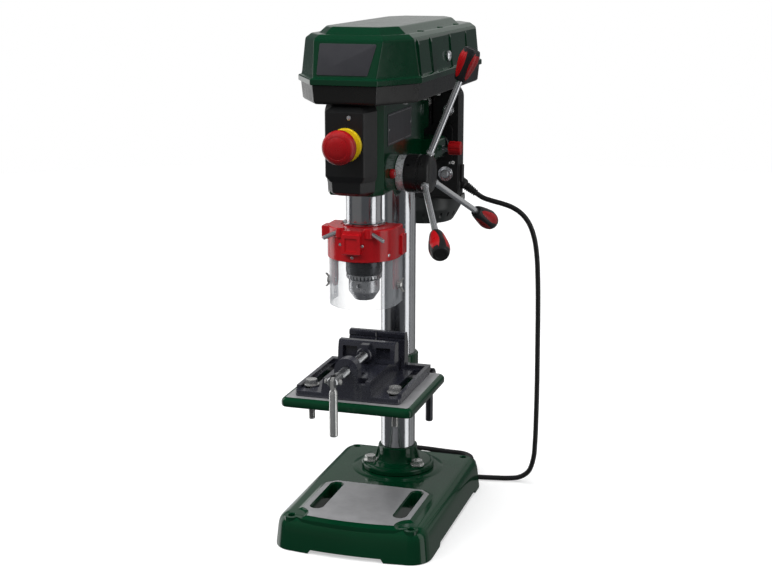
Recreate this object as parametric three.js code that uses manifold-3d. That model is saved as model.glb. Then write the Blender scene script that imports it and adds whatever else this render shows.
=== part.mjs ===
// Bench pillar drill: a ribbed cast base, a round column, a rise-and-swing
// table that carries a drill vise, and a head with a rack-fed quill, a belt
// drive under a hinged cover and a motor hung behind.
// Millimetres, +Z up. The machine faces -Y and its feed levers are on +X.
// Everything below is laid out about the column's axis (X = 0, Y = 0) with the
// floor at Z = 0; the last lines shift the whole to the middle of its box.
import * as THREE from 'three';
import { mergeVertices } from 'three/addons/utils/BufferGeometryUtils.js';
import Module from 'manifold-3d';

const wasm = await Module();
wasm.setup();

// ------------------------------------------------------ driving dimensions
const GAP = 0.3;                 // between pieces that touch
const COL_R = 23;                // column radius
const SPY = -145.2;              // spindle axis, Y
const MOY = 124;                 // motor axis, Y
const BASE = { x: 101, y0: -224, y1: 82, h: 42, wall: 5 };
const HOLE_X = 77.2, HOLE_Y = [-203.5, 59];   // base fixing holes
const SLOT_X = 54.5, SLOT_Y = [-181, -89], SLOT_R = 7.5;
const TABLE = { x: 83, y0: -224, y1: -64, top: 199.5, t: 11.5 };
const HEAD_Z = [445, 553.2];
const QUILL_R = 22, QUILL_Z = [392, 528], STROKE = 50;
const PIN_Y = -116, PIN_Z = 463.5;            // feed shaft axis
const MODULE = 1.25, TEETH = 14;              // feed pinion and rack
const GUARD_R = 44.4;
const CHUCK_Z = [311, 376];
const TRAY_Z = [553.5, 575.5];
const LID_Z = [575.8, 582.8, 627, 631.5, 639.6];
const HINGE_X = -80, HINGE_Z = 577.5;
const PULLEY_R = [44, 38, 32, 26, 20];        // belt steps, outside radii
const PULLEY_Z = 560, STEP_H = 11;
const BELT_STEP = 2;
const MOTOR = { x: 64, y0: 72, r: 52, z0: 362, z1: 546 };
const LEVER = { x: 64.1, cone: 21.7, phase: 2.2, l1: 120.7, l2: 160.6, r: 3.75 };
const VX = -2;                                // the vise sits 2 mm left of centre
const SCREW_Z = 237;
const CORD_R = 3.5;

// facets round a circle that is drawn at n; the hexagons keep their six
const facets = n => (n <= 6 ? n : Math.max(10, 2 * Math.round(n * 0.31)));

// ------------------------------------------------------------- small tools
function volume(g) {
  const p = g.attributes.position, n = g.index ? g.index.count : p.count;
  const at = i => (g.index ? g.index.getX(i) : i);
  const a = new THREE.Vector3(), b = new THREE.Vector3(), c = new THREE.Vector3();
  let v = 0;
  for (let i = 0; i < n; i += 3) {
    a.fromBufferAttribute(p, at(i)); b.fromBufferAttribute(p, at(i + 1)); c.fromBufferAttribute(p, at(i + 2));
    v += a.dot(b.cross(c));
  }
  return v / 6;
}
// one indexed, position-only geometry with merged corners, facing outwards
function tidy(g, tol = 1e-4) {
  g = g.clone();
  for (const k of Object.keys(g.attributes)) if (k !== 'position') g.deleteAttribute(k);
  g = mergeVertices(g, tol);
  const src = g.index.array, idx = [];
  for (let i = 0; i < src.length; i += 3) {
    const [a, b, c] = [src[i], src[i + 1], src[i + 2]];
    if (a !== b && b !== c && c !== a) idx.push(a, b, c);
  }
  g.setIndex(idx);
  if (volume(g) < 0) {
    for (let i = 0; i < idx.length; i += 3) [idx[i + 1], idx[i + 2]] = [idx[i + 2], idx[i + 1]];
    g.setIndex(idx);
  }
  return g;
}
function solid(g) {
  if (!g.isBufferGeometry) return g;
  const m = tidy(g);
  return new wasm.Manifold(new wasm.Mesh({
    numProp: 3,
    vertProperties: Float32Array.from(m.attributes.position.array),
    triVerts: Uint32Array.from(m.index.array),
  }));
}
const join = (...s) => s.map(solid).reduce((a, b) => a.add(b));
const cut = (a, ...s) => s.map(solid).reduce((m, b) => m.subtract(b), solid(a));
function geometry(s) {
  if (s.isBufferGeometry) return tidy(s);
  const m = s.getMesh(), g = new THREE.BufferGeometry();
  const n = m.numProp, src = m.vertProperties, pos = new Float32Array(src.length / n * 3);
  for (let i = 0; i < src.length / n; i++) for (let k = 0; k < 3; k++) pos[3 * i + k] = src[i * n + k];
  g.setAttribute('position', new THREE.BufferAttribute(pos, 3));
  g.setIndex(Array.from(m.triVerts));
  return g;
}
const M = new THREE.Matrix4();
const moved = (g, x, y, z) => g.clone().translate(x, y, z);
// plan (u, v) drawn in XY and raised along Z
function prism(pts, z0, z1, curve = 8) {
  const s = pts.isShape ? pts : new THREE.Shape(pts.map(p => new THREE.Vector2(p[0], p[1])));
  return new THREE.ExtrudeGeometry(s, { depth: z1 - z0, bevelEnabled: false, curveSegments: curve }).translate(0, 0, z0);
}
// outline in (Y, Z), pushed along X;  outline in (X, Z), pushed along Y
const toX = g => g.applyMatrix4(M.clone().set(0, 0, 1, 0, 1, 0, 0, 0, 0, 1, 0, 0, 0, 0, 0, 1));
const toY = g => g.applyMatrix4(M.clone().set(1, 0, 0, 0, 0, 0, -1, 0, 0, 1, 0, 0, 0, 0, 0, 1));
const prismX = (pts, x0, x1, c) => toX(prism(pts, x0, x1, c));
const prismY = (pts, y0, y1, c) => toY(prism(pts, -y1, -y0, c));
const box = (x0, x1, y0, y1, z0, z1) =>
  new THREE.BoxGeometry(x1 - x0, y1 - y0, z1 - z0).translate((x0 + x1) / 2, (y0 + y1) / 2, (z0 + z1) / 2);
function cylZ(r, z0, z1, x = 0, y = 0, seg = 32, r2 = r) {
  return new THREE.CylinderGeometry(r2, r, z1 - z0, facets(seg)).rotateX(Math.PI / 2).translate(x, y, (z0 + z1) / 2);
}
function cylX(r, x0, x1, y, z, seg = 32, r2 = r) {
  return new THREE.CylinderGeometry(r2, r, x1 - x0, facets(seg)).rotateZ(-Math.PI / 2).translate((x0 + x1) / 2, y, z);
}
function cylY(r, y0, y1, x, z, seg = 32, r2 = r) {
  return new THREE.CylinderGeometry(r2, r, y1 - y0, facets(seg)).translate(x, (y0 + y1) / 2, z);
}
// profile of [radius, height] pairs turned about Z
function turn(profile, seg = 32, x = 0, y = 0) {
  return new THREE.LatheGeometry(profile.map(p => new THREE.Vector2(p[0], p[1])), facets(seg))
    .rotateX(Math.PI / 2).translate(x, y, 0);
}
const turnY = (profile, seg, x, z) =>          // height runs towards -Y
  new THREE.LatheGeometry(profile.map(p => new THREE.Vector2(p[0], p[1])), facets(seg))
    .rotateX(Math.PI).translate(x, 0, z);
const hexZ = (r, z0, z1, x, y) => cylZ(r, z0, z1, x, y, 6);
function rounded(x0, x1, y0, y1, r, n = 4) {
  const pts = [], q = [[x1 - r, y1 - r, 0], [x0 + r, y1 - r, 90], [x0 + r, y0 + r, 180], [x1 - r, y0 + r, 270]];
  for (const [cx, cy, a0] of q) for (let i = 0; i <= n; i++) {
    const a = (a0 + 90 * i / n) * Math.PI / 180;
    pts.push([cx + r * Math.cos(a), cy + r * Math.sin(a)]);
  }
  return pts;
}
// a slot with round ends along Y
function slotY(x, y0, y1, r, n = 5) {
  const pts = [];
  for (let i = 0; i <= n; i++) { const a = Math.PI * i / n; pts.push([x + r * Math.cos(a), y1 - r + r * Math.sin(a)]); }
  for (let i = 0; i <= n; i++) { const a = Math.PI + Math.PI * i / n; pts.push([x + r * Math.cos(a), y0 + r + r * Math.sin(a)]); }
  return pts;
}
// a convex outline moved inwards by d
function inset(pts, d) {
  const n = pts.length, out = [];
  for (let i = 0; i < n; i++) {
    const a = pts[(i + n - 1) % n], b = pts[i], c = pts[(i + 1) % n];
    const n1 = [b[1] - a[1], a[0] - b[0]], n2 = [c[1] - b[1], b[0] - c[0]];
    const l1 = Math.hypot(...n1), l2 = Math.hypot(...n2);
    const m = [n1[0] / l1 + n2[0] / l2, n1[1] / l1 + n2[1] / l2];
    const k = 2 / (m[0] * m[0] + m[1] * m[1]);
    out.push([b[0] - d * m[0] * k, b[1] - d * m[1] * k]);   // outline runs anticlockwise
  }
  return out;
}
// a skin over level outlines of equal count, closed at both ends
function loft(levels) {
  if (THREE.ShapeUtils.area(levels[0].pts.map(p => new THREE.Vector2(p[0], p[1]))) < 0) {
    levels = levels.map(({ z, pts }) => ({ z, pts: [...pts].reverse() }));
  }
  const n = levels[0].pts.length, pos = [], idx = [];
  for (const { z, pts } of levels) for (const p of pts) pos.push(p[0], p[1], z);
  for (let l = 0; l + 1 < levels.length; l++) for (let i = 0; i < n; i++) {
    const a = l * n + i, b = l * n + (i + 1) % n, c = b + n, d = a + n;
    idx.push(a, b, c, a, c, d);
  }
  const cap = (l, up) => {
    const tri = THREE.ShapeUtils.triangulateShape(levels[l].pts.map(p => new THREE.Vector2(p[0], p[1])), []);
    for (const [a, b, c] of tri) idx.push(...(up ? [a, b, c] : [a, c, b]).map(i => i + l * n));
  };
  cap(0, false); cap(levels.length - 1, true);
  const g = new THREE.BufferGeometry();
  g.setAttribute('position', new THREE.Float32BufferAttribute(pos, 3));
  g.setIndex(idx);
  return g;
}
// a plain bar between two points
function bar(a, b, r, seg = 20, r2 = r) {
  const A = new THREE.Vector3(...a), B = new THREE.Vector3(...b), d = B.clone().sub(A);
  return new THREE.CylinderGeometry(r2, r, d.length(), facets(seg))
    .applyQuaternion(new THREE.Quaternion().setFromUnitVectors(new THREE.Vector3(0, 1, 0), d.clone().normalize()))
    .translate(...A.add(B).multiplyScalar(0.5).toArray());
}

const machine = new THREE.Group();
const looks = {
  green: [0x0c3b25, 0.28, 0.1], black: [0x17181a, 0.55, 0.0], castblack: [0x14161c, 0.42, 0.3],
  steel: [0xb9bcc0, 0.25, 1.0], machined: [0x8f8f92, 0.4, 0.9], chrome: [0xd8dadd, 0.12, 1.0],
  zinc: [0xc4c4bd, 0.3, 0.9], dark: [0x2a2c30, 0.4, 0.6], red: [0xb8121b, 0.35, 0.0],
  yellow: [0xe9cf22, 0.4, 0.0], clear: [0xdfe6ea, 0.08, 0.0], alu: [0xa9abae, 0.4, 0.9],
  rubber: [0x1b1b1c, 0.7, 0.0],
};
function piece(name, shape, look) {
  const [color, roughness, metalness] = looks[look];
  const material = new THREE.MeshStandardMaterial({ color, roughness, metalness });
  if (look === 'clear') { material.transparent = true; material.opacity = 0.35; }
  const mesh = new THREE.Mesh(geometry(shape), material);
  mesh.name = name;
  machine.add(mesh);
  return mesh;
}
const rad = d => d * Math.PI / 180;

// --------------------------------------------------------------------- base
{
  const outline = [], B = BASE, r = 28, n = 4;
  const arc = (cx, cy, a0) => { for (let i = 0; i <= n; i++) { const a = rad(a0 + 90 * i / n); outline.push([cx + r * Math.cos(a), cy + r * Math.sin(a)]); } };
  arc(B.x - r, B.y1 - r, 0); arc(-B.x + r, B.y1 - r, 90);
  arc(-B.x + r, B.y0 + r + 5, 180);
  outline.push([-36, B.y0 + 1], [0, B.y0], [36, B.y0 + 1]);
  arc(B.x - r, B.y0 + r + 5, 270);
  const skin = d => [
    { z: 0, pts: inset(outline, d) }, { z: 24, pts: inset(outline, 3 + d) },
    { z: 33, pts: inset(outline, 5 + d) }, { z: 39, pts: inset(outline, 8.5 + d) },
    { z: 42, pts: inset(outline, 14 + d) }];
  const inside = [
    { z: -1, pts: inset(outline, B.wall) }, { z: 24, pts: inset(outline, 3 + B.wall) },
    { z: 32, pts: inset(outline, 7 + B.wall) }, { z: B.h - B.wall, pts: inset(outline, 15 + B.wall) }];
  let base = cut(loft(skin(0)), loft(inside));
  // work face, raised 2.5 mm and scooped round the front fixing holes
  let pad = solid(prism(rounded(-72, 72, -212, -83, 6), 36, 44.5));
  for (const s of [-1, 1]) pad = pad.subtract(solid(cylZ(23, 30, 50, s * (HOLE_X + 1), HOLE_Y[0], 28)));
  base = base.add(pad).add(solid(cylZ(54, 36, 44, 0, 0, 40)));
  // bosses under the column foot, walls round the two slots
  for (const a of [90, 210, 330]) base = base.add(solid(cylZ(9, 18, 40, 38 * Math.cos(rad(a)), 38 * Math.sin(rad(a)), 16)));
  for (const s of [-1, 1]) {
    base = base.add(solid(prism(slotY(s * SLOT_X, SLOT_Y[0] - 4, SLOT_Y[1] + 4, SLOT_R + 4), 20, 40)));
    base = base.subtract(solid(prism(slotY(s * SLOT_X, SLOT_Y[0], SLOT_Y[1], SLOT_R), 10, 60)));
    for (const y of HOLE_Y) {
      base = base.add(solid(cylZ(9, 30, 42, s * HOLE_X, y, 20))).subtract(solid(cylZ(4.5, 20, 60, s * HOLE_X, y, 20)));
    }
  }
  for (const a of [90, 210, 330]) base = base.subtract(solid(cylZ(4.3, 10, 60, 38 * Math.cos(rad(a)), 38 * Math.sin(rad(a)), 16)));
  // the skirt is lifted between the corner feet
  base = base.subtract(solid(prismY([[-52, -2], [49, -2], [43, 5], [-46, 5]], -260, -200)));
  base = base.subtract(solid(prismY([[-62, -2], [62, -2], [56, 5], [-56, 5]], 60, 120)));
  base = base.subtract(solid(prismX([[-156, -2], [38, -2], [32, 5], [-150, 5]], -130, -80)));
  base = base.subtract(solid(prismX([[-156, -2], [38, -2], [32, 5], [-150, 5]], 80, 130)));
  piece('base', base, 'green');
}
// ------------------------------------------------------- column and its foot
{
  const r = COL_R + GAP;
  let foot = solid(turn([[r, 44.3], [49, 44.3], [49, 50.5], [46.5, 53], [28.5, 53], [27, 56], [26.2, 62], [26.2, 74.5], [r, 74.5], [r, 44.3]], 40));
  for (const a of [90, 210, 330]) foot = foot.subtract(solid(cylZ(4.3, 40, 60, 38 * Math.cos(rad(a)), 38 * Math.sin(rad(a)), 16)));
  piece('column_foot', foot, 'green');
  [90, 210, 330].forEach((a, i) => {
    const x = 38 * Math.cos(rad(a)), y = 38 * Math.sin(rad(a));
    piece(`foot_bolt_${i + 1}`, join(cylZ(4, 20, 55, x, y, 16), cylZ(9, 53.3, 55, x, y, 20), hexZ(7.3, 54.9, 60.3, x, y)), 'zinc');
  });
  piece('column', cut(cylZ(COL_R, 44.3, 545, 0, 0, 40), cylZ(COL_R - 4, 43, 546, 0, 0, 28)), 'steel');
}
// -------------------------------------------------------------------- table
{
  const T = TABLE, z0 = T.top - T.t;
  const o = rounded(-T.x, T.x, T.y0, T.y1, 9, 4);
  let t = solid(loft([{ z: z0, pts: inset(o, 2) }, { z: z0 + 2.5, pts: o }, { z: T.top - 1.8, pts: o }, { z: T.top, pts: inset(o, 1.8) }]));
  t = t.subtract(solid(prism(rounded(-T.x + 9, T.x - 9, T.y0 + 9, T.y1 - 9, 5, 3), z0 - 1, z0 + 4)));
  t = t.add(solid(prismX([[-176, z0 + 5], [-64, z0 + 5], [-24, 196], [-24, 146], [-60, 152], [-100, 176]], -20, 20)));
  t = t.add(solid(cylZ(27, 140, 204, 0, 0, 36)));
  t = t.add(solid(box(-14, 14, 18, 45, 149, 179)));
  t = t.subtract(solid(cylZ(COL_R + 0.2, 130, 210, 0, 0, 40)));
  t = t.subtract(solid(box(-1.6, 1.6, 15, 60, 130, 210)));
  t = t.subtract(solid(cylX(4.4, -30, 30, 36, 164, 16)));
  t = t.subtract(solid(cylZ(9, 120, 210, 0, SPY, 24)));
  for (const s of [-1, 1]) t = t.subtract(solid(prism(slotY(VX + s * 53.5, -200, -96, 4.6), 180, 210)));
  piece('table', t, 'green');
  piece('table_clamp_lever', join(
    cylX(4, -19, 24, 36, 164, 16), cylX(7, -20.5, -14.4, 36, 164, 6), cylX(8.2, 14.4, 41, 36, 164, 20),
    cylZ(5, 98, 160, 34, 36, 16)), 'black');
}
// --------------------------------------------------------------------- vise
{
  const z0 = TABLE.top + GAP, X = VX;
  // sole with its two slotted ears, rails, fixed jaw and screw nose
  let b = solid(prism([[-66.5, -208], [-63.5, -211], [63.5, -211], [66.5, -208], [66.5, -74], [62.5, -70], [-62.5, -70], [-66.5, -74]].map(p => [p[0] + X, p[1]]), z0, z0 + 7));
  for (const s of [-1, 1]) {
    b = b.add(solid(loft([
      { z: z0 + 4, pts: [[s * 33 + X, -211], [s * 33 + X, -72], [s * 24 + X, -72], [s * 24 + X, -211]] },
      { z: 225, pts: [[s * 29.5 + X, -210], [s * 29.5 + X, -72], [s * 24 + X, -72], [s * 24 + X, -210]] }])));
    // rim round each ear
    b = b.add(solid(box(...(s > 0 ? [63.3, 66.5] : [-66.5, -63.3]).map(v => v + X), -204, -74, z0 + 4, z0 + 11)));
    b = b.add(solid(box(...(s > 0 ? [30, 62] : [-62, -30]).map(v => v + X), -79, -72, z0 + 4, z0 + 11)));
    b = b.subtract(solid(prism(slotY(X + s * 53.5, -200, -84, 4.6), 190, 215)));
  }
  b = b.add(solid(prismX([[-88, 203], [-88, 254], [-77, 254], [-72, 240], [-72, 203]], -37 + X, 37 + X)));
  b = b.add(solid(box(-30 + X, 30 + X, -211, -204, z0 + 4, 221)));
  b = b.add(solid(join(cylY(15, -211, -199, X, SCREW_Z, 28), box(-15 + X, 15 + X, -211, -199, z0 + 3, SCREW_Z))));
  b = b.subtract(solid(cylY(5.9, -215, -195, X, SCREW_Z, 20)));
  b = b.subtract(solid(box(-15 + X, 15 + X, -190, -100, z0 - 2, z0 + 10)));
  piece('vise_body', b, 'castblack');
  // moving jaw, pocketed at the front, sliding between the rails
  let j = solid(prismX([[-150, 208.5], [-150, 219], [-136, 226], [-131, 251.5], [-118, 251.5], [-116, 246], [-116, 208.5]], -23.6 + X, 23.6 + X));
  j = j.add(solid(prismX([[-133.5, 225.4], [-131, 251.5], [-118, 251.5], [-116, 246], [-116, 225.4]], -37 + X, 37 + X)));
  for (const s of [-1, 1]) j = j.subtract(solid(box(...(s > 0 ? [12, 30] : [-30, -12]).map(v => v + X), -140, -124, 231, 246)));
  j = j.add(solid(cylY(9.5, -142, -128, X, SCREW_Z, 24)));
  j = j.subtract(solid(cylY(5.6, -150, -128, X, SCREW_Z, 20)));
  piece('vise_moving_jaw', j, 'castblack');
  piece('vise_screw', cut(join(cylY(5.3, -262, -128.3, X, SCREW_Z, 20), cylY(6.6, -262, -240, X, SCREW_Z, 20)),
    box(-2.6 + X, 2.6 + X, -275, -249, 225, 250), cylX(2.2, -12 + X, 12 + X, -257, SCREW_Z, 14)), 'steel');
  piece('vise_handle', join(
    prismX([[-262, 228], [-252.5, 228], [-252.5, 240], [-255, 242], [-259, 242], [-262, 240]], -2.2 + X, 2.2 + X),
    cylX(1.9, -8.5 + X, 8.5 + X, -257, SCREW_Z, 12), cylX(3.2, -11 + X, -7.2 + X, -257, SCREW_Z, 12), cylX(3.2, 7.2 + X, 11 + X, -257, SCREW_Z, 12),
    cylZ(5.1, 170, 225, X, -257, 20), cylZ(5.1, 224.9, 229.5, X, -257, 20, 2.1)), 'steel');
  for (const [n, s] of [['left', -1], ['right', 1]]) {
    const x = X + s * 53.5, y = -185, zt = z0 + 7 + GAP;
    piece(`vise_bolt_${n}`, join(cylZ(4, 164, zt + 1, x, y, 16), cylZ(9.5, zt, zt + 1.8, x, y, 24), hexZ(7.6, zt + 1.7, zt + 7.5, x, y)), 'zinc');
    piece(`vise_nut_${n}`, cut(join(cylZ(9.5, 189.9, 191.7, x, y, 24), hexZ(7.6, 183.5, 190, x, y)), cylZ(4.3, 180, 195, x, y, 16)), 'zinc');
  }
}
// --------------------------------------------------------------------- head
{
  const [z0, z1] = HEAD_Z;
  let h = solid(prism([[-35, -100], [-35, -176], [-27, -192], [27, -192], [35, -176], [35, -20], [33, 0], [-33, 0], [-35, -20]].reverse(), z0, z1));
  h = h.add(solid(cylZ(33, 440, z1, 0, 0, 40)));
  h = h.add(solid(cylZ(28, 441.5, 450, 0, SPY, 36)));
  for (const s of [-1, 1]) h = h.add(solid(prismY(rounded(...(s > 0 ? [22, 54] : [-54, -22]), 462, 492, 8, 3), -16, 34)));
  h = h.add(solid(prismY(rounded(-30, 30, 498, 540, 6, 2), 0, 38)));
  h = h.subtract(solid(cylZ(QUILL_R + 0.25, 430, 532, 0, SPY, 48)));
  h = h.subtract(solid(cylZ(10, 520, 560, 0, SPY, 28)));
  h = h.subtract(solid(cylZ(COL_R + GAP, 430, 547, 0, 0, 40)));
  h = h.subtract(solid(cylX(10.7, -40, 40, PIN_Y, PIN_Z, 28)));
  h = h.subtract(solid(box(-28, 28, -94, -34, 455, 560)));
  h = h.subtract(solid(box(-24, 24, -200, -172, 458, 540)));
  for (const s of [-1, 1]) h = h.subtract(solid(cylY(6.3, -14, 40, s * 42, 477, 20)));
  h = h.subtract(solid(cylX(3.3, 46, 60, 18, 477, 14)));
  piece('head', h, 'green');
  piece('spring_cap', cut(
    turn([[0, 35.3], [25, 35.3], [25, 47], [22, 50.5], [0, 50.5]], 32).rotateY(-Math.PI / 2).translate(0, PIN_Y, PIN_Z),
    cylX(6.4, -46, -30, PIN_Y, PIN_Z, 20)), 'black');
}
// ------------------------------------------------------------ quill and feed
{
  const pitch = Math.PI * MODULE, rp = MODULE * TEETH / 2;
  let q = solid(turn([[9.6, QUILL_Z[0]], [QUILL_R, QUILL_Z[0]], [QUILL_R, 404.3], [26, 404.3], [26, 407.3], [QUILL_R, 407.3], [QUILL_R, QUILL_Z[1]], [9.6, QUILL_Z[1]], [9.6, QUILL_Z[0]]], 40, 0, SPY));
  // rack on the rear: pitch line one pitch radius from the feed shaft
  const yp = PIN_Y - rp, tip = yp + 0.8 * MODULE, root = yp - 1.15 * MODULE;
  q = q.subtract(solid(box(-30, 30, tip, tip + 20, 450, 540)));
  const t20 = Math.tan(rad(20)), n = 18, zc = PIN_Z;      // a tooth space is centred on the shaft's height at rest
  for (let i = -3; i < n - 3; i++) {
    const z = zc + i * pitch, w = pitch / 4 + 0.07, hi = w + (tip + 1 - yp) * t20, lo = w - (yp - root) * t20;
    q = q.subtract(solid(prismX([[root, z - lo], [tip + 1, z - hi], [tip + 1, z + hi], [root, z + lo]], -30, 30)));
  }
  piece('quill', q, 'steel');
  // pinion: at each angle the radius is the least that the rack's own teeth allow
  const rackSolid = (y, z) => {                          // true inside the rack's steel, y towards the shaft
    if (y > 0.8 * MODULE) return false;
    if (y < -1.15 * MODULE) return true;
    const u = ((z / pitch) % 1 + 1) % 1, d = Math.min(u, 1 - u) * pitch;   // from a space's centre
    return d > pitch / 4 - 0.04 + y * t20;
  };
  const per = 8, outline = [];
  const lim = [];
  for (let k = 0; k < per; k++) {
    const phi = (k / per) * (2 * Math.PI / TEETH);       // 0 is a tooth's centre
    let best = rp + 1.0 * MODULE;
    for (let s = -40; s <= 40; s++) {
      const th = s * 0.02, a = phi + th;                 // pinion turned by th
      for (let r = rp - 1.5; r < best; r += 0.02) {
        // towards the rack is -Y; the point sits at angle a from that line
        const y = rp - r * Math.cos(a), z = r * Math.sin(a) - rp * th;
        if (Math.abs(a) < 0.9 && rackSolid(y, z)) { best = r; break; }
      }
    }
    lim.push(Math.max(best - 0.27, rp - 1.5));
  }
  for (let t = 0; t < TEETH; t++) for (let k = 0; k < per; k++) {
    const a = (t + k / per) * 2 * Math.PI / TEETH;
    outline.push([PIN_Y - lim[k] * Math.cos(a), PIN_Z + lim[k] * Math.sin(a)]);
  }
  piece('feed_pinion', join(prismX(outline, -11, 11), cylX(6, -44, 74, PIN_Y, PIN_Z, 24),
    cylX(10.3, -34, -22, PIN_Y, PIN_Z, 24), cylX(10.3, 22, 34.5, PIN_Y, PIN_Z, 24)), 'steel');
}
{
  const cone = rad(LEVER.cone), dir = i => {
    const t = rad(LEVER.phase) - i * 2 * Math.PI / 3;
    return [Math.sin(cone), Math.cos(cone) * Math.sin(t), Math.cos(cone) * Math.cos(t)];
  };
  const at = (i, s) => { const d = dir(i); return [LEVER.x + d[0] * s, PIN_Y + d[1] * s, PIN_Z + d[2] * s]; };
  const along = (g, i) => g.applyQuaternion(new THREE.Quaternion().setFromUnitVectors(new THREE.Vector3(0, 1, 0), new THREE.Vector3(...dir(i)))).translate(LEVER.x, PIN_Y, PIN_Z);
  let hub = solid(turn([[0, 46.4], [22.6, 46.4], [23.4, 47.2], [23.4, 58], [22.9, 58.6], [23.4, 59.2], [23.4, 74.5], [21.6, 77.6], [0, 78.2]], 36)
    .rotateY(Math.PI / 2).translate(0, PIN_Y, PIN_Z));
  hub = hub.subtract(solid(cylX(6.3, 40, 74.4, PIN_Y, PIN_Z, 24)));
  for (let i = 0; i < 3; i++) hub = hub.subtract(solid(bar(at(i, 11), at(i, 40), LEVER.r + GAP, 16)));
  piece('feed_hub', hub, 'black');
  piece('depth_ring', cut(cylX(21.8, 35.8, 46.0, PIN_Y, PIN_Z, 40), cylX(6.3, 30, 50, PIN_Y, PIN_Z, 24)), 'alu');
  for (let i = 0; i < 3; i++) {
    piece(`feed_lever_${i + 1}`, bar(at(i, 11.4), at(i, 144), LEVER.r, 16), 'chrome');
    const k = new THREE.LatheGeometry([[LEVER.r + GAP, LEVER.l1], [6.8, LEVER.l1], [7.6, LEVER.l1 + 1.5], [10.2, LEVER.l1 + 14], [12.2, LEVER.l1 + 26],
      [11.9, LEVER.l1 + 32], [9.8, LEVER.l2 - 1], [8.8, LEVER.l2], [0, LEVER.l2], [0, 144.4], [LEVER.r + GAP, 144.4], [LEVER.r + GAP, LEVER.l1]].map(p => new THREE.Vector2(...p)), 20);
    piece(`feed_knob_${i + 1}`, along(k, i), 'red');
  }
  piece('depth_pointer', join(cylX(5.8, 35.3, 40.5, -150, 467, 20), prismX([[-147, 464], [-139, 466.4], [-139, 467.6], [-147, 470]], 35.3, 38.3)), 'red');
}
// ------------------------------------------------------- spindle and chuck
{
  const y = SPY;
  piece('spindle', turn([[0, 362], [7.4, 362], [8.3, 391.5], [9.2, 392.5], [9.2, 528], [6.5, 529.5], [6.5, 618], [0, 618]], 24, 0, y), 'steel');
  // jaws: each slides along its own slanting bore and they meet on the axis
  const slope = 0.19, travel = 14, L = Math.hypot(1, slope), ux = slope / L, uz = 1 / L;
  const axisPt = (z, az) => { const r = 4.2 + (z - CHUCK_Z[0]) * slope; return [r * Math.cos(az), y + r * Math.sin(az), z]; };
  let body = solid(turn([[0, 311], [11.6, 311], [12.4, 311.8], [18.2, 320.5], [19, 322.5], [19, 336.4], [16, 336.4], [16, 374], [14, 376], [0, 376]], 36, 0, y));
  body = body.subtract(solid(turn([[0, 361.5], [7.75, 361.5], [8.7, 377], [0, 377]], 24, 0, y)));
  body = body.subtract(solid(cylZ(5, 300, 350, 0, y, 20)));
  const azs = [90, 210, 330].map(rad);
  for (const az of azs) body = body.subtract(solid(bar(axisPt(300, az), axisPt(352, az), 3.55, 16)));
  piece('chuck_body', body, 'steel');
  azs.forEach((az, i) => {
    const shift = [-travel * ux * Math.cos(az), -travel * ux * Math.sin(az), -travel * uz];
    const c = bar(axisPt(313, az), axisPt(348, az), 3.25, 16).translate(...shift);
    const wedge = prism([[0.22, 0], [16, 27.2], [16, -27.2]].map(([u, v]) => [u * Math.cos(az) - v * Math.sin(az), y + u * Math.sin(az) + v * Math.cos(az)]), 280, 345);
    const s = solid(c).intersect(solid(wedge)).translate(shift.map(v => -v));
    piece(`chuck_jaw_${i + 1}`, s, 'dark');
  });
  piece('chuck_sleeve', turn([[16.35, 337], [20.2, 336.8], [21.8, 338.5], [21.8, 342.5], [20.8, 343], [22.3, 344], [22.3, 362], [21.5, 363], [16.35, 363], [16.35, 337]], 36, 0, y), 'dark');
}
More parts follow.
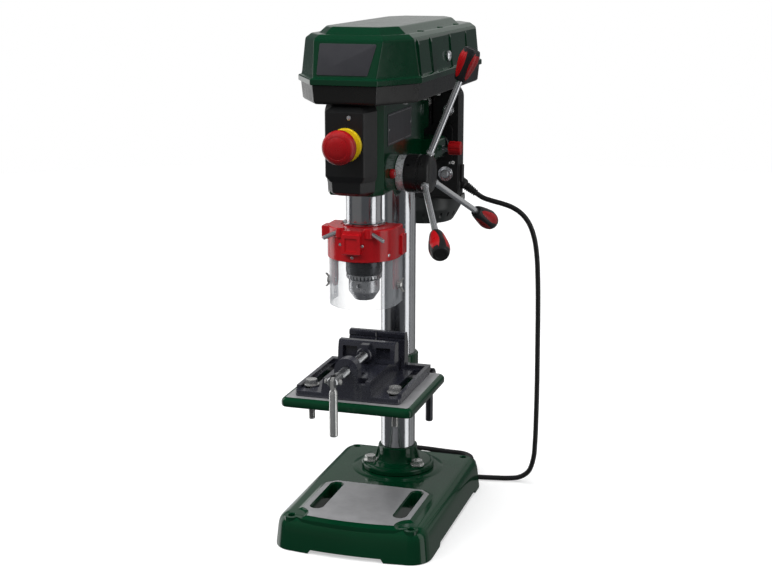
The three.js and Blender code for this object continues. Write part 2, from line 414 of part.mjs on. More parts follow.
// -------------------------------------------------------------------- guard
{
  const y = SPY, U = (r, yr) => {                        // round at the front, open at the rear
    const p = [[-r, yr]], n = 14;
    for (let i = 0; i <= n; i++) { const a = Math.PI + Math.PI * i / n; p.push([r * Math.cos(a), y + r * Math.sin(a)]); }
    p.push([r, yr]);
    return p;
  };
  const R = GUARD_R;
  let g = solid(prism(U(R, -122), 364.5, 403.6));
  g = g.subtract(solid(prism(U(R - 1.7, -100), 350, 397.5)));
  g = g.subtract(solid(box(-60, 60, -130, -100, 396, 410)));
  g = g.add(solid(cylZ(31, 393, 404, 0, y, 36)));
  // legs inside the clear sleeve that take the wing screws
  for (const s of [-1, 1]) {
    const ri = R - 4.9, ro = R - 4.3;
    g = g.add(solid(box(...(s > 0 ? [ri - 2.2, ro] : [-ro, -ri + 2.2]), -149, -133, 322, 398.5)));
  }
  g = g.add(solid(box(-11.5, 11.5, -197, -188, 375, 400)));
  // ears at the sides: high on the left, low on the right
  g = g.add(solid(prism([[-47.2, -148], [-47.2, -166], [-45.2, -168], [-37.05, -168], [-39.7, -163], [-41.6, -158], [-43, -152], [-43.4, -148]], 387, 403))).add(solid(box(R - 1.6, 47.4, -140, -122, 367, 391)));
  g = g.subtract(solid(cylZ(QUILL_R + 0.35, 380, 410, 0, y, 40)));
  for (const s of [-1, 1]) {
    g = g.subtract(solid(cylX(2.8, ...(s > 0 ? [34, 48] : [-48, -34]), -144, 331, 14)));
    g = g.add(solid(cylZ(5.5, 394, 405.5, s * 17.5, -183, 16)));
    g = g.subtract(solid(bar([s * 14, -180, 402.4], [s * 40, -188, 391], 2.9, 14)));
  }
  piece('guard_bracket', g, 'red');
  const ro = R - 2.0, ri = R - 3.7;
  let v = solid(prism(U(ro, -124), 306, 381)).subtract(solid(prism(U(ri, -100), 300, 390)));
  for (const s of [-1, 1]) v = v.subtract(solid(prismX(slotY(-144, 312, 335.5, 3.1, 6).map(p => [p[0], p[1]]), ...(s > 0 ? [36, 48] : [-48, -36]))));
  piece('guard_visor', v, 'clear');
  for (const [n, s] of [['left', -1], ['right', 1]]) {
    const X = (a, b) => (s > 0 ? [a, b] : [-b, -a]);
    piece(`guard_wing_screw_${n}`, join(cylX(2.5, ...X(36.4, 46), -144, 331, 14), cylX(5.2, ...X(ro + GAP, ro + 3.4), -144, 331, 16),
      box(...X(ro + 2.5, ro + 8.5), -145.1, -142.9, 322.5, 339.5)), 'zinc');
    piece(`guard_pin_${n}`, bar([s * 14.6, -180.2, 402.1], [s * 38, -187.4, 391.9], 2.6, 14), 'chrome');
  }
}
// ------------------------------------------------------- switch on the head
{
  const t = (z, hf, yf, hb) => ({ z, pts: [[hb, -192.3], [-hb, -192.3], [-hf, yf], [hf, yf]] });
  let s = join(loft([t(464, 18.5, -213.5, 30), t(471, 23.3, -217.7, 32), t(545.5, 23.3, -217.7, 32), t(552.6, 16, -208, 30)]),
    loft([t(447, 12, -204, 24), t(451.5, 16.5, -212, 29), t(474, 17.8, -214.5, 30.5)]));
  s = s.subtract(solid(cylY(11.6, -222, -204, 2, 508.5, 28)));
  piece('switch_box', s, 'black');
  piece('stop_collar', cut(turnY([[11.7, 218], [19.6, 218], [19.6, 220.4], [18.6, 222], [11.7, 222], [11.7, 218]], 36, 2, 508.5)), 'yellow');
  piece('stop_button', turnY([[0, 214], [11.3, 214], [11.3, 232], [12.5, 235.5], [19, 237.5], [19.8, 241], [19.3, 245], [16.6, 248.4], [8, 251], [0, 251.6]], 36, 2, 508.5), 'red');
}
// --------------------------------------------------- belt housing and cover
const PLAN = [[44, 178], [-44, 178], [-71.3, 135.5], [-71.3, -159.2], [-37.1, -215.7], [37.1, -215.7], [71.3, -159.2], [71.3, 135.5]];
{
  const [z0, z1] = TRAY_Z;
  let t = cut(loft([{ z: z0, pts: inset(PLAN, 1.5) }, { z: z0 + 1.5, pts: PLAN }, { z: z1, pts: inset(PLAN, -2) }]),
    loft([{ z: z0 + 3, pts: inset(PLAN, 2.5) }, { z: z1 + 1, pts: inset(PLAN, 0.8) }]));
  t = t.add(solid(box(57, 64.6, -33, -19, z0 + 1, 606)));
  t = t.subtract(solid(cylZ(11, z0 - 1, z0 + 5, 0, SPY, 28)));
  t = t.subtract(solid(prism(slotY(0, MOY - 24, MOY + 14, 14), z0 - 1, z0 + 5)));
  for (const y of [-110, 60]) t = t.add(solid(join(cylY(4.6, y, y + 14, HINGE_X, HINGE_Z, 18), prismY([[-72.6, 566], [-72.6, 575.4], [-76, 575.4], [-80, 573.1], [-84, 574]].map(p => p), y, y + 14))));
  t = t.subtract(solid(cylY(2.3, -120, 100, HINGE_X, HINGE_Z, 14)));
  piece('belt_housing', t, 'black');

  // the cover's walls lean in towards its top
  const TOP = [[42, 174], [-42, 174], [-68.5, 132], [-66.5, -161], [-41.4, -201.5], [41.4, -201.5], [66.5, -161], [68.5, 132]];
  const [a, b, c, d, e] = LID_Z, up = [[28, 125], [-28, 125], [-44, 96], [-44, -148], [-28, -176], [28, -176], [44, -148], [44, 96]];
  let l = solid(loft([{ z: a, pts: inset(PLAN, -5) }, { z: b, pts: inset(PLAN, -5) }, { z: b + 1, pts: inset(PLAN, -1) }, { z: c, pts: TOP }, { z: d, pts: inset(TOP, 6) }]));
  for (const s of [-1, 1]) for (const [y, w] of [[-95, 3], [-5.7, 2], [75, 2], [-150, 2.5]]) {
    l = l.add(solid(prismY([[70.5, b + 0.5], [73.5, b + 0.5], [69.2, 623], [65.5, 623]].map(([x, z]) => [s * x, z]), y - w, y + w)));
  }
  l = l.add(solid(loft([{ z: d - 2, pts: inset(up, -9) }, { z: d + 0.8, pts: inset(up, -8) }, { z: e, pts: up }])));
  l = l.subtract(solid(loft([{ z: a - 1, pts: inset(PLAN, -2.4) }, { z: b - 1, pts: inset(PLAN, -2.4) }, { z: b + 1, pts: inset(PLAN, 1.5) }, { z: c - 1, pts: inset(TOP, 3) }, { z: d - 2.6, pts: inset(TOP, 8) }])));
  l = l.subtract(solid(loft([{ z: d - 4, pts: inset(up, 1) }, { z: e - 2.6, pts: inset(up, 2) }])));
  l = l.subtract(solid(cylX(3.6, 60, 80, -26, 598, 16)));
  for (const y of [-110, 60]) l = l.subtract(solid(cylY(6.4, y - 0.5, y + 14.5, HINGE_X, HINGE_Z, 30)));
  for (const y of [-95.7, 74.3]) l = l.add(solid(join(cylY(4.6, y, y + 14, HINGE_X, HINGE_Z, 18), prismY([[-75.2, 576], [-75.2, 582.8], [-80, 582], [-80, 577]], y, y + 14))));
  l = l.subtract(solid(cylY(2.3, -120, 100, HINGE_X, HINGE_Z, 14)));
  piece('belt_cover', l, 'green');
  piece('cover_hinge_pin', cylY(2, -111, 89, HINGE_X, HINGE_Z, 14), 'zinc');
  piece('cover_screw', join(cylX(3.2, 66.9, 75, -26, 598, 16), cylX(6, 71.8, 75.8, -26, 598, 24)), 'chrome');
}
{
  // stepped pulleys: large at the foot on the spindle, large at the top on the motor
  const pulley = (radii, bore, x, y, foot) => {
    const p = [[bore, PULLEY_Z - foot]];
    if (foot) p.push([9.6, PULLEY_Z - foot], [9.6, PULLEY_Z]);
    radii.forEach((r, i) => {
      const z = PULLEY_Z + i * STEP_H;
      p.push([r, z], [r, z + 0.5], [r - 6.6, z + 2.9], [r - 6.6, z + 8.1], [r, z + 10.5], ...(i + 1 < radii.length ? [] : [[r, z + STEP_H]]));
    });
    p.push([bore, PULLEY_Z + radii.length * STEP_H], [bore, PULLEY_Z - foot]);
    return turn(p, 24, x, y);
  };
  piece('spindle_pulley', pulley(PULLEY_R, 6.9, 0, SPY, 18), 'alu');
  piece('motor_pulley', pulley([...PULLEY_R].reverse(), 7.3, 0, MOY, 0), 'alu');
  const r = PULLEY_R[BELT_STEP], zc = PULLEY_Z + BELT_STEP * STEP_H + STEP_H / 2;
  const loop = R => { const p = [], n = 9; for (let i = 0; i <= n; i++) { const a = Math.PI * i / n; p.push([R * Math.cos(a), MOY + R * Math.sin(a)]); }
    for (let i = 0; i <= n; i++) { const a = Math.PI + Math.PI * i / n; p.push([R * Math.cos(a), SPY + R * Math.sin(a)]); } return p; };
  const ri = r - 5.9, ro = r + 0.4;
  piece('drive_belt', cut(loft([{ z: zc - 4.2, pts: loop(ro) }, { z: zc + 4.2, pts: loop(ro) }]),
    loft([{ z: zc - 4.6, pts: loop(ro - 0.3) }, { z: zc - 2.5, pts: loop(ri) }, { z: zc + 2.5, pts: loop(ri) }, { z: zc + 4.6, pts: loop(ro - 0.3) }])), 'rubber');
}
// -------------------------------------------------------------------- motor
{
  const m = MOTOR, o = rounded(-m.x, m.x, m.y0, m.y0 + 22, 5, 3);
  let h = solid(loft([{ z: 400, pts: inset(o, 2) }, { z: 402, pts: o }, { z: m.z1 - 8, pts: o }, { z: m.z1, pts: inset(o, 3.5) }]));
  h = h.add(solid(turn([[0, m.z0], [38.5, m.z0], [41.5, m.z0 + 3], [51.4, m.z0 + 20], [m.r, m.z0 + 24], [m.r, m.z1 - 8], [m.r - 7, m.z1], [0, m.z1]], 40, 0, MOY)));
  h = h.add(solid(prismY([[28, 405], [59.5, 405], [62.6, 408], [62.6, 541], [59.5, 544], [28, 544]], 66, 76)));
  h = h.add(solid(cylY(8.6, 63, 68, 45.7, 435.6, 6))).subtract(solid(cylY(5.9, 60, 74, 45.7, 435.6, 18)));
  h = h.subtract(solid(cylZ(7.4, 470, 560, 0, MOY, 20)));
  piece('motor_housing', h, 'black');
  piece('motor_shaft', cylZ(7, 472, 617, 0, MOY, 20), 'steel');
  piece('motor_reset_button', cylY(5.5, 61, 70, 45.7, 435.6, 18), 'dark');
  piece('motor_slide', join(box(-56, 26, 60, 71.6, 452, 540), box(20, 56, 60, 65.6, 452, 502), cylY(6, -3, 62, -42, 477, 18), cylY(6, -3, 62, 42, 477, 18)), 'dark');
  piece('tension_screw', join(cylX(3, 48.6, 66, 18, 477, 14), turn([[0, 63], [8.6, 63], [9.2, 64], [9.2, 78], [8, 79.5], [0, 79.5]], 8).rotateY(Math.PI / 2).translate(0, 18, 477)), 'red');
}
// ---------------------------------------------------------------- mains lead
{
  // route: out of the gland, a slow droop to the floor, then round behind the base
  const exit = [64.3, 86, 421], d = new THREE.Vector3(0.82, 0.04, -0.57).normalize();
  const relief = s => [exit[0] + d.x * s, exit[1] + d.y * s, exit[2] + d.z * s];
  piece('strain_relief', cut(join(bar(relief(-1), relief(23), 6, 16, 4.3), bar(relief(-4), relief(5), 7.4, 20)), box(0, 64.3, 60, 110, 380, 460)), 'rubber');
  const route = CORD_ROUTE();
  const c = new THREE.CatmullRomCurve3(route.map(p => new THREE.Vector3(...p)), false, 'centripetal');
  const s = new THREE.Shape();
  for (let i = 0; i < 8; i++) { const a = i / 8 * 2 * Math.PI; s[i ? 'lineTo' : 'moveTo'](CORD_R * Math.cos(a), CORD_R * Math.sin(a)); }
  piece('mains_lead', new THREE.ExtrudeGeometry(s, { steps: 40, extrudePath: c, bevelEnabled: false }), 'rubber');
  // the turns lie in a flat hank behind the base; the last strand crosses it and ends in the plug
  const over = [[46, 90.5, 16.8], [-24, 98, 16.8], [-42, 99, 16.8], [-50, 99, 15.6], [-56, 99, 13.9], [-61.4, 99, 13.1]];
  piece('lead_hank', join(prism(slotY(0, -63.46, 63.46, 31.6).map(([x, y]) => [18.14 + y, 115 + x]), 0.4, 14.0),
    ...[0, 1, 2, 3, 4].map(i => bar(over[i], over[i + 1], 3.6, 20)), ...[1, 2, 3, 4].map(i => new THREE.SphereGeometry(3.6, 10, 6).translate(...over[i]))), 'rubber');
  const body = rounded(86, 112, 0.4, 25.6, 8, 3);
  piece('mains_plug', join(bar([-62.1, 99, 13], [-74, 99, 13], 3.6, 20, 6.2), prismX(body, -95, -72),
    bar([-94.9, 89.5, 13], [-113, 89.5, 13], 2.4, 14), bar([-94.9, 108.5, 13], [-113, 108.5, 13], 2.4, 14)), 'black');
}
function CORD_ROUTE() {
  return [[84, 86.96, 407.3], [92.5, 87.5, 402.2], [104, 88.3, 398.6], [118, 89.3, 395.2], [132, 90.7, 390.5], [145, 92.3, 382], [155, 94, 369], [162, 95.5, 350],
    [166, 97, 325], [168, 98.5, 290], [169, 99.5, 250], [169.5, 100.5, 200], [170, 101, 150], [170, 101, 100], [169.5, 100.5, 60], [167.8, 100, 35], [161.5, 99, 15.6],
    [149.5, 97.5, 6.4], [133, 95, 3.7], [115, 91.5, 3.7], [98, 88.6, 3.7], [82, 87.1, 3.7], [72.5, 86.95, 3.7]];
}

// The origin is the middle of the box round everything but the lead, on the floor.
const span = new THREE.Box3();
for (const m of machine.children) {
  if (!['mains_lead', 'lead_hank', 'mains_plug'].includes(m.name)) span.union(new THREE.Box3().setFromBufferAttribute(m.geometry.attributes.position));
}
const mid = span.getCenter(new THREE.Vector3());
for (const m of machine.children) m.geometry.translate(-mid.x, -mid.y, 0);

export default machine;
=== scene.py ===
# A bench pillar drill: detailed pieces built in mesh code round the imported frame.
# Shapes are laid out in millimetres about the column's axis (front -Y, feed levers +X)
# and moved into the row frame, in metres, when a piece is finished.
import math
import random

import bmesh
import bpy
from mathutils import Matrix, Quaternion, Vector


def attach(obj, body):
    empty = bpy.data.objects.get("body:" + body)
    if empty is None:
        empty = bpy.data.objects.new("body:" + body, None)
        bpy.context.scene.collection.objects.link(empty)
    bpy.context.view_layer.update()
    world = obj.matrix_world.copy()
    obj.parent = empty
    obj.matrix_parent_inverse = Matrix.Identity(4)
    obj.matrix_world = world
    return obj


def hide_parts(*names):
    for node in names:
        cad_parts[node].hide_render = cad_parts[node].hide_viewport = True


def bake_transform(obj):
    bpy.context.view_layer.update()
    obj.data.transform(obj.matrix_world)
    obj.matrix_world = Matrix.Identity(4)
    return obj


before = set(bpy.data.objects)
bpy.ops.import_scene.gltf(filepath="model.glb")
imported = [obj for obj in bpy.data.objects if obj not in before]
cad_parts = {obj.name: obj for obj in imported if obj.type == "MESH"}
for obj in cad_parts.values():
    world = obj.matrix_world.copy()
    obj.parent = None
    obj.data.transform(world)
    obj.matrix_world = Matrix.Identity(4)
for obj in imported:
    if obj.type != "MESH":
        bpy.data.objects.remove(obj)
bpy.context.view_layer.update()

OX, OY = -15.602707, 39.550003
SPY, MOY = -145.2, 124.0
PY, PZ = -116.0, 463.5
VX = -2.0
SCREW_Z = 237.0


def row(x, y, z):
    return Vector(((x + OX) / 1000, (y + OY) / 1000, z / 1000))


# ------------------------------------------------------------------ camera
cam_data = bpy.data.cameras.new("camera")
cam_data.lens = 66.0
cam_data.sensor_width = 36
cam_data.clip_end = 100
cam = bpy.data.objects.new("camera", cam_data)
bpy.context.collection.objects.link(cam)
cam.location = row(520.0, -1746.16, 725.06)
cam.rotation_euler = (math.radians(90 - 13.47), 0, math.radians(17.09))
bpy.context.scene.camera = cam


# --------------------------------------------------------------- materials
def material(name, color, rough, metal=0.0, spec=0.5, coat=0.0, coat_rough=0.05, alpha=1.0, transmission=0.0,
             ior=1.5, tint=None, tint_scale=18, tint_amount=0.5, rough_var=0.05, rough_scale=60,
             bump=0.0, bump_scale=900, bump_detail=3, stretch=(1, 1, 1), bump_dist=0.0002, sheen=0.0, coarse=0.0):
    m = bpy.data.materials.new(name)
    m.use_nodes = True
    t = m.node_tree
    t.nodes.clear()
    out = t.nodes.new("ShaderNodeOutputMaterial")
    b = t.nodes.new("ShaderNodeBsdfPrincipled")
    t.links.new(b.outputs[0], out.inputs[0])
    b.inputs["Metallic"].default_value = metal
    b.inputs["IOR"].default_value = ior
    b.inputs["Specular IOR Level"].default_value = spec
    b.inputs["Coat Weight"].default_value = coat
    b.inputs["Coat Roughness"].default_value = coat_rough
    b.inputs["Alpha"].default_value = alpha
    b.inputs["Transmission Weight"].default_value = transmission
    co = t.nodes.new("ShaderNodeTexCoord")
    mp = t.nodes.new("ShaderNodeMapping")
    mp.inputs["Scale"].default_value = stretch
    t.links.new(co.outputs["Object"], mp.inputs["Vector"])

    def noise(scale, detail=3, vec=None):
        n = t.nodes.new("ShaderNodeTexNoise")
        n.inputs["Scale"].default_value = scale
        n.inputs["Detail"].default_value = detail
        n.inputs["Roughness"].default_value = 0.6
        t.links.new(vec or mp.outputs["Vector"], n.inputs["Vector"])
        return n.outputs["Fac"]

    def ramp(fac, lo, hi, c0, c1):
        r = t.nodes.new("ShaderNodeValToRGB")
        r.color_ramp.elements[0].position, r.color_ramp.elements[1].position = lo, hi
        r.color_ramp.elements[0].color, r.color_ramp.elements[1].color = (*c0, 1), (*c1, 1)
        t.links.new(fac, r.inputs[0])
        return r.outputs[0]

    tint = tint or tuple(c * 0.8 for c in color)
    fac = noise(tint_scale, 4, co.outputs["Object"])
    mid = 0.5 - tint_amount / 2
    col = ramp(fac, mid * 0.7 + 0.1, 1 - mid * 0.7 - 0.1, tint, color)
    t.links.new(col, b.inputs["Base Color"])
    fr = noise(rough_scale, 3)
    mr = t.nodes.new("ShaderNodeMapRange")
    mr.inputs["From Min"].default_value, mr.inputs["From Max"].default_value = 0.3, 0.7
    mr.inputs["To Min"].default_value, mr.inputs["To Max"].default_value = max(0.02, rough - rough_var), rough + rough_var
    t.links.new(fr, mr.inputs["Value"])
    t.links.new(mr.outputs[0], b.inputs["Roughness"])
    if bump:
        h = noise(bump_scale, bump_detail)
        bn = t.nodes.new("ShaderNodeBump")
        bn.inputs["Strength"].default_value = bump
        bn.inputs["Distance"].default_value = bump_dist
        t.links.new(h, bn.inputs["Height"])
        last = bn
        if coarse:
            b2 = t.nodes.new("ShaderNodeBump")
            b2.inputs["Strength"].default_value = coarse
            b2.inputs["Distance"].default_value = 0.001
            t.links.new(noise(bump_scale / 12, 2, co.outputs["Object"]), b2.inputs["Height"])
            t.links.new(bn.outputs[0], b2.inputs["Normal"])
            last = b2
        t.links.new(last.outputs[0], b.inputs["Normal"])
    return m


MAT = {
    "green": material("green_enamel", (0.0012, 0.040, 0.0150), 0.14, spec=0.3, coat=0.15, coat_rough=0.05, tint=(0.0010, 0.034, 0.0125),
                      tint_scale=9, rough_var=0.03, bump=0.07, bump_scale=260, bump_dist=0.0004, coarse=0.03),
    "cover": material("cover_enamel", (0.0012, 0.036, 0.0140), 0.12, spec=0.35, coat=0.25, coat_rough=0.05, tint=(0.0010, 0.031, 0.0120),
                      tint_scale=7, rough_var=0.03, bump=0.05, bump_scale=220, bump_dist=0.0003),
    "ground": material("machined_grey", (0.50, 0.50, 0.51), 0.36, metal=0.40, tint=(0.38, 0.38, 0.39), tint_scale=55, tint_amount=0.7,
                       rough_var=0.08, rough_scale=140, bump=0.25, bump_scale=1100, bump_dist=0.0002),
    "steel": material("turned_steel", (0.60, 0.61, 0.63), 0.17, metal=1.0, tint=(0.52, 0.53, 0.55), tint_scale=14, rough_var=0.03,
                      rough_scale=40, bump=0.06, bump_scale=60, stretch=(1, 1, 30), bump_dist=0.0002),
    "steel_y": material("turned_steel_y", (0.55, 0.56, 0.57), 0.24, metal=1.0, tint=(0.42, 0.43, 0.44), tint_scale=40, rough_var=0.06,
                        rough_scale=80, bump=0.12, bump_scale=60, stretch=(1, 25, 1), bump_dist=0.0002),
    "chrome": material("chrome", (0.84, 0.85, 0.87), 0.10, metal=0.82, tint=(0.70, 0.71, 0.73), tint_scale=30, rough_var=0.03,
                       bump=0.02, bump_scale=300),
    "zinc": material("zinc_plate", (0.74, 0.74, 0.73), 0.22, metal=0.78, tint=(0.62, 0.62, 0.60), tint_scale=160, rough_var=0.07, rough_scale=240,
                     bump=0.08, bump_scale=700),
    "alloy": material("turned_alloy", (0.62, 0.63, 0.65), 0.30, metal=0.72, tint=(0.54, 0.55, 0.57), tint_scale=90, rough_var=0.06,
                      rough_scale=200, bump=0.08, bump_scale=900),
    "scale": material("scale_alloy", (0.80, 0.81, 0.83), 0.28, metal=0.30, tint=(0.74, 0.75, 0.77), tint_scale=90, rough_var=0.05,
                      rough_scale=200, bump=0.05, bump_scale=900),
    "dark_steel": material("dark_steel", (0.075, 0.078, 0.085), 0.33, metal=1.0, tint=(0.045, 0.047, 0.052), tint_scale=90, rough_var=0.07,
                           bump=0.08, bump_scale=700),
    "iron": material("blackened_iron", (0.0250, 0.0260, 0.0370), 0.27, spec=0.8, coat=0.45, coat_rough=0.10, tint=(0.0210, 0.0220, 0.0320),
                     tint_scale=60, rough_var=0.03, rough_scale=180, bump=0.03, bump_scale=420, bump_dist=0.0003, coarse=0.02),
    "plastic": material("black_plastic", (0.0125, 0.0128, 0.0130), 0.42, spec=0.5, tint=(0.0085, 0.0088, 0.009), tint_scale=25, rough_var=0.06,
                        rough_scale=120, bump=0.22, bump_scale=1500, bump_dist=0.00015),
    # the motor's lower drum in a lighter grey than the shell: a painted sheen for the light its curved face catches
    "drum": material("drum_grey", (0.040, 0.045, 0.043), 0.34, spec=0.5, tint=(0.034, 0.038, 0.037), tint_scale=25, rough_var=0.04,
                     bump=0.08, bump_scale=900, bump_dist=0.0002),
    "satin": material("satin_black", (0.012, 0.012, 0.0125), 0.30, spec=0.5, tint=(0.008, 0.008, 0.008), tint_scale=40, rough_var=0.06,
                      bump=0.15, bump_scale=700, bump_dist=0.0002),
    "tray": material("tray_black", (0.010, 0.0098, 0.0095), 0.30, spec=0.5, tint=(0.007, 0.007, 0.0065), tint_scale=12, rough_var=0.05,
                     bump=0.10, bump_scale=900, bump_dist=0.00015),
    "red": material("red_plastic", (0.40, 0.006, 0.009), 0.30, spec=0.5, tint=(0.35, 0.004, 0.007), tint_scale=30, rough_var=0.04,
                    bump=0.06, bump_scale=900),
    "guard_red": material("guard_red", (0.62, 0.010, 0.016), 0.20, spec=0.5, tint=(0.56, 0.008, 0.013), tint_scale=20, rough_var=0.05,
                          bump=0.05, bump_scale=500),
    "yellow": material("yellow_plastic", (0.86, 0.62, 0.010), 0.34, tint=(0.80, 0.56, 0.008), tint_scale=40, bump=0.05, bump_scale=900),
    "rubber": material("rubber", (0.013, 0.013, 0.013), 0.5, tint=(0.009, 0.009, 0.009), tint_scale=80, rough_var=0.08, bump=0.2, bump_scale=1200,
                       bump_dist=0.0002),
    "plate": material("blank_plate", (0.040, 0.040, 0.046), 0.36, spec=0.4, tint=(0.034, 0.034, 0.04), tint_scale=60, bump=0.06, bump_scale=1400),
    "white": material("white_mark", (0.93, 0.93, 0.91), 0.45, tint=(0.88, 0.88, 0.86), tint_scale=80),
    "ink": material("dark_mark", (0.012, 0.012, 0.013), 0.5, tint=(0.02, 0.02, 0.02), tint_scale=90),
    # near-black for bores: painted shade for their depth (no piece uses it)
    "bore": material("dark_bore", (0.02, 0.02, 0.022), 0.4, metal=0.6, tint=(0.012, 0.012, 0.013), tint_scale=90),
}
clear = material("clear_guard", (0.66, 0.69, 0.72), 0.05, spec=0.5, ior=1.45, tint=(0.62, 0.65, 0.69), tint_scale=8, rough_var=0.02,
                 bump=0.03, bump_scale=45, bump_dist=0.001, alpha=0.20)
MAT["clear"] = clear
ct = clear.node_tree
lw = ct.nodes.new("ShaderNodeLayerWeight")
lw.inputs["Blend"].default_value = 0.5
lr = ct.nodes.new("ShaderNodeMapRange")
lr.inputs["From Min"].default_value, lr.inputs["From Max"].default_value = 0.05, 0.95
lr.inputs["To Min"].default_value, lr.inputs["To Max"].default_value = 0.025, 0.62
ct.links.new(lw.outputs["Facing"], lr.inputs["Value"])
ct.links.new(lr.outputs[0], next(n for n in ct.nodes if n.type == "BSDF_PRINCIPLED").inputs["Alpha"])


# -------------------------------------------------------------- mesh tools
def make(verts, faces, name="tmp"):
    me = bpy.data.meshes.new(name)
    me.from_pydata([tuple(v) for v in verts], [], faces)
    bm = bmesh.new()
    bm.from_mesh(me)
    bmesh.ops.remove_doubles(bm, verts=bm.verts, dist=1e-5)
    bmesh.ops.recalc_face_normals(bm, faces=bm.faces)
    bm.to_mesh(me)
    bm.free()
    o = bpy.data.objects.new(name, me)
    bpy.context.collection.objects.link(o)
    return o


def fillet(pts, r, n=4, closed=True):
    """Rounds each corner of a polyline; r is one radius or one per corner."""
    m, out = len(pts), []
    for i, p in enumerate(pts):
        ri = r[i] if isinstance(r, (list, tuple)) else r
        if ri <= 0 or (not closed and i in (0, m - 1)):
            out.append(tuple(p)); continue
        b = Vector(p); u = Vector(pts[i - 1]) - b; v = Vector(pts[(i + 1) % m]) - b
        lu, lv = u.length, v.length
        if lu < 1e-9 or lv < 1e-9:
            out.append(tuple(p)); continue
        u /= lu; v /= lv
        ang = math.acos(max(-1, min(1, u.dot(v))))
        if ang > math.pi - 0.02 or ang < 0.02:
            out.append(tuple(p)); continue
        t = min(ri / math.tan(ang / 2), 0.48 * lu, 0.48 * lv)
        rr = t * math.tan(ang / 2)
        c = b + (u + v).normalized() * rr / math.sin(ang / 2)
        a, e = b + u * t - c, b + v * t - c
        full = math.pi - ang
        for k in range(n + 1):
            f = k / n
            w = (a * math.sin((1 - f) * full) + e * math.sin(f * full)) / math.sin(full)
            out.append(tuple(c + w))
    return out


def ccw(pts):
    a = sum(p[0] * q[1] - q[0] * p[1] for p, q in zip(pts, pts[1:] + pts[:1]))
    return list(pts) if a > 0 else list(pts)[::-1]


def inset(pts, d):
    n, out = len(pts), []
    for i in range(n):
        a, b, c = pts[i - 1], pts[i], pts[(i + 1) % n]
        n1 = (b[1] - a[1], a[0] - b[0]); n2 = (c[1] - b[1], b[0] - c[0])
        l1, l2 = math.hypot(*n1) or 1e-9, math.hypot(*n2) or 1e-9
        m = (n1[0] / l1 + n2[0] / l2, n1[1] / l1 + n2[1] / l2)
        k = 2 / max(m[0] ** 2 + m[1] ** 2, 0.3)
        out.append((b[0] - d * m[0] * k, b[1] - d * m[1] * k))
    return out


def axis_map(axis):
    return {"Z": lambda u, v, h: (u, v, h), "X": lambda u, v, h: (h, u, v), "Y": lambda u, v, h: (u, h, v),
            "-Y": lambda u, v, h: (u, -h, v), "-X": lambda u, v, h: (-h, u, v)}[axis]


def loft(levels, axis="Z"):
    """levels: [(h, outline)], equal counts; closed at both ends."""
    f = axis_map(axis)
    n = len(levels[0][1])
    verts = [f(p[0], p[1], h) for h, pts in levels for p in pts]
    faces = [tuple(range(n)), tuple((len(levels) - 1) * n + i for i in range(n))]
    for l in range(len(levels) - 1):
        for i in range(n):
            j = (i + 1) % n
            faces.append((l * n + i, l * n + j, (l + 1) * n + j, (l + 1) * n + i))
    return make(verts, faces)


def ring_loft(levels, axis="Z"):
    """A closed band: the last level joins the first, as a shell's outside and inside."""
    f = axis_map(axis)
    n, m = len(levels[0][1]), len(levels)
    verts = [f(p[0], p[1], h) for h, pts in levels for p in pts]
    faces = []
    for l in range(m):
        for i in range(n):
            j, q = (i + 1) % n, (l + 1) % m
            faces.append((l * n + i, l * n + j, q * n + j, q * n + i))
    return make(verts, faces)


def prism(pts, a, b, axis="Z", bev=0.0, n=3, bev0=None):
    pts = ccw(pts)
    b0 = bev if bev0 is None else bev0
    lv = []
    if b0 > 0:
        lv += [(a + b0 * (1 - math.cos(k / n * math.pi / 2)), inset(pts, b0 * (1 - math.sin(k / n * math.pi / 2)))) for k in range(n + 1)]
    else:
        lv.append((a, pts))
    if bev > 0:
        lv += [(b - bev * (1 - math.cos(k / n * math.pi / 2)), inset(pts, bev * (1 - math.sin(k / n * math.pi / 2)))) for k in range(n, -1, -1)]
    else:
        lv.append((b, pts))
    return loft(lv, axis)


def rect(x0, x1, y0, y1, r=0, n=5):
    p = [(x1, y1), (x0, y1), (x0, y0), (x1, y0)]
    return fillet(p, r, n) if r else p


def box(x0, x1, y0, y1, z0, z1, bev=0.0, r=0.0, n=2, axis="Z"):
    if axis == "X":
        return prism(rect(y0, y1, z0, z1, r), x0, x1, "X", bev, n)
    if axis == "Y":
        return prism(rect(x0, x1, z0, z1, r), y0, y1, "Y", bev, n)
    return prism(rect(x0, x1, y0, y1, r), z0, z1, "Z", bev, n)


def circle(r, n=48, cx=0, cy=0, a0=0.0):
    return [(cx + r * math.cos(a0 + 2 * math.pi * i / n), cy + r * math.sin(a0 + 2 * math.pi * i / n)) for i in range(n)]


def cyl(r, a, b, at=(0, 0), axis="Z", bev=0.0, n=48):
    return prism(circle(r, n, at[0], at[1]), a, b, axis, bev, 2)


def slot_y(x, y0, y1, r, n=12):
    p = [(x + r * math.cos(math.pi * i / n), y1 - r + r * math.sin(math.pi * i / n)) for i in range(n + 1)]
    return p + [(x + r * math.cos(math.pi + math.pi * i / n), y0 + r + r * math.sin(math.pi + math.pi * i / n)) for i in range(n + 1)]


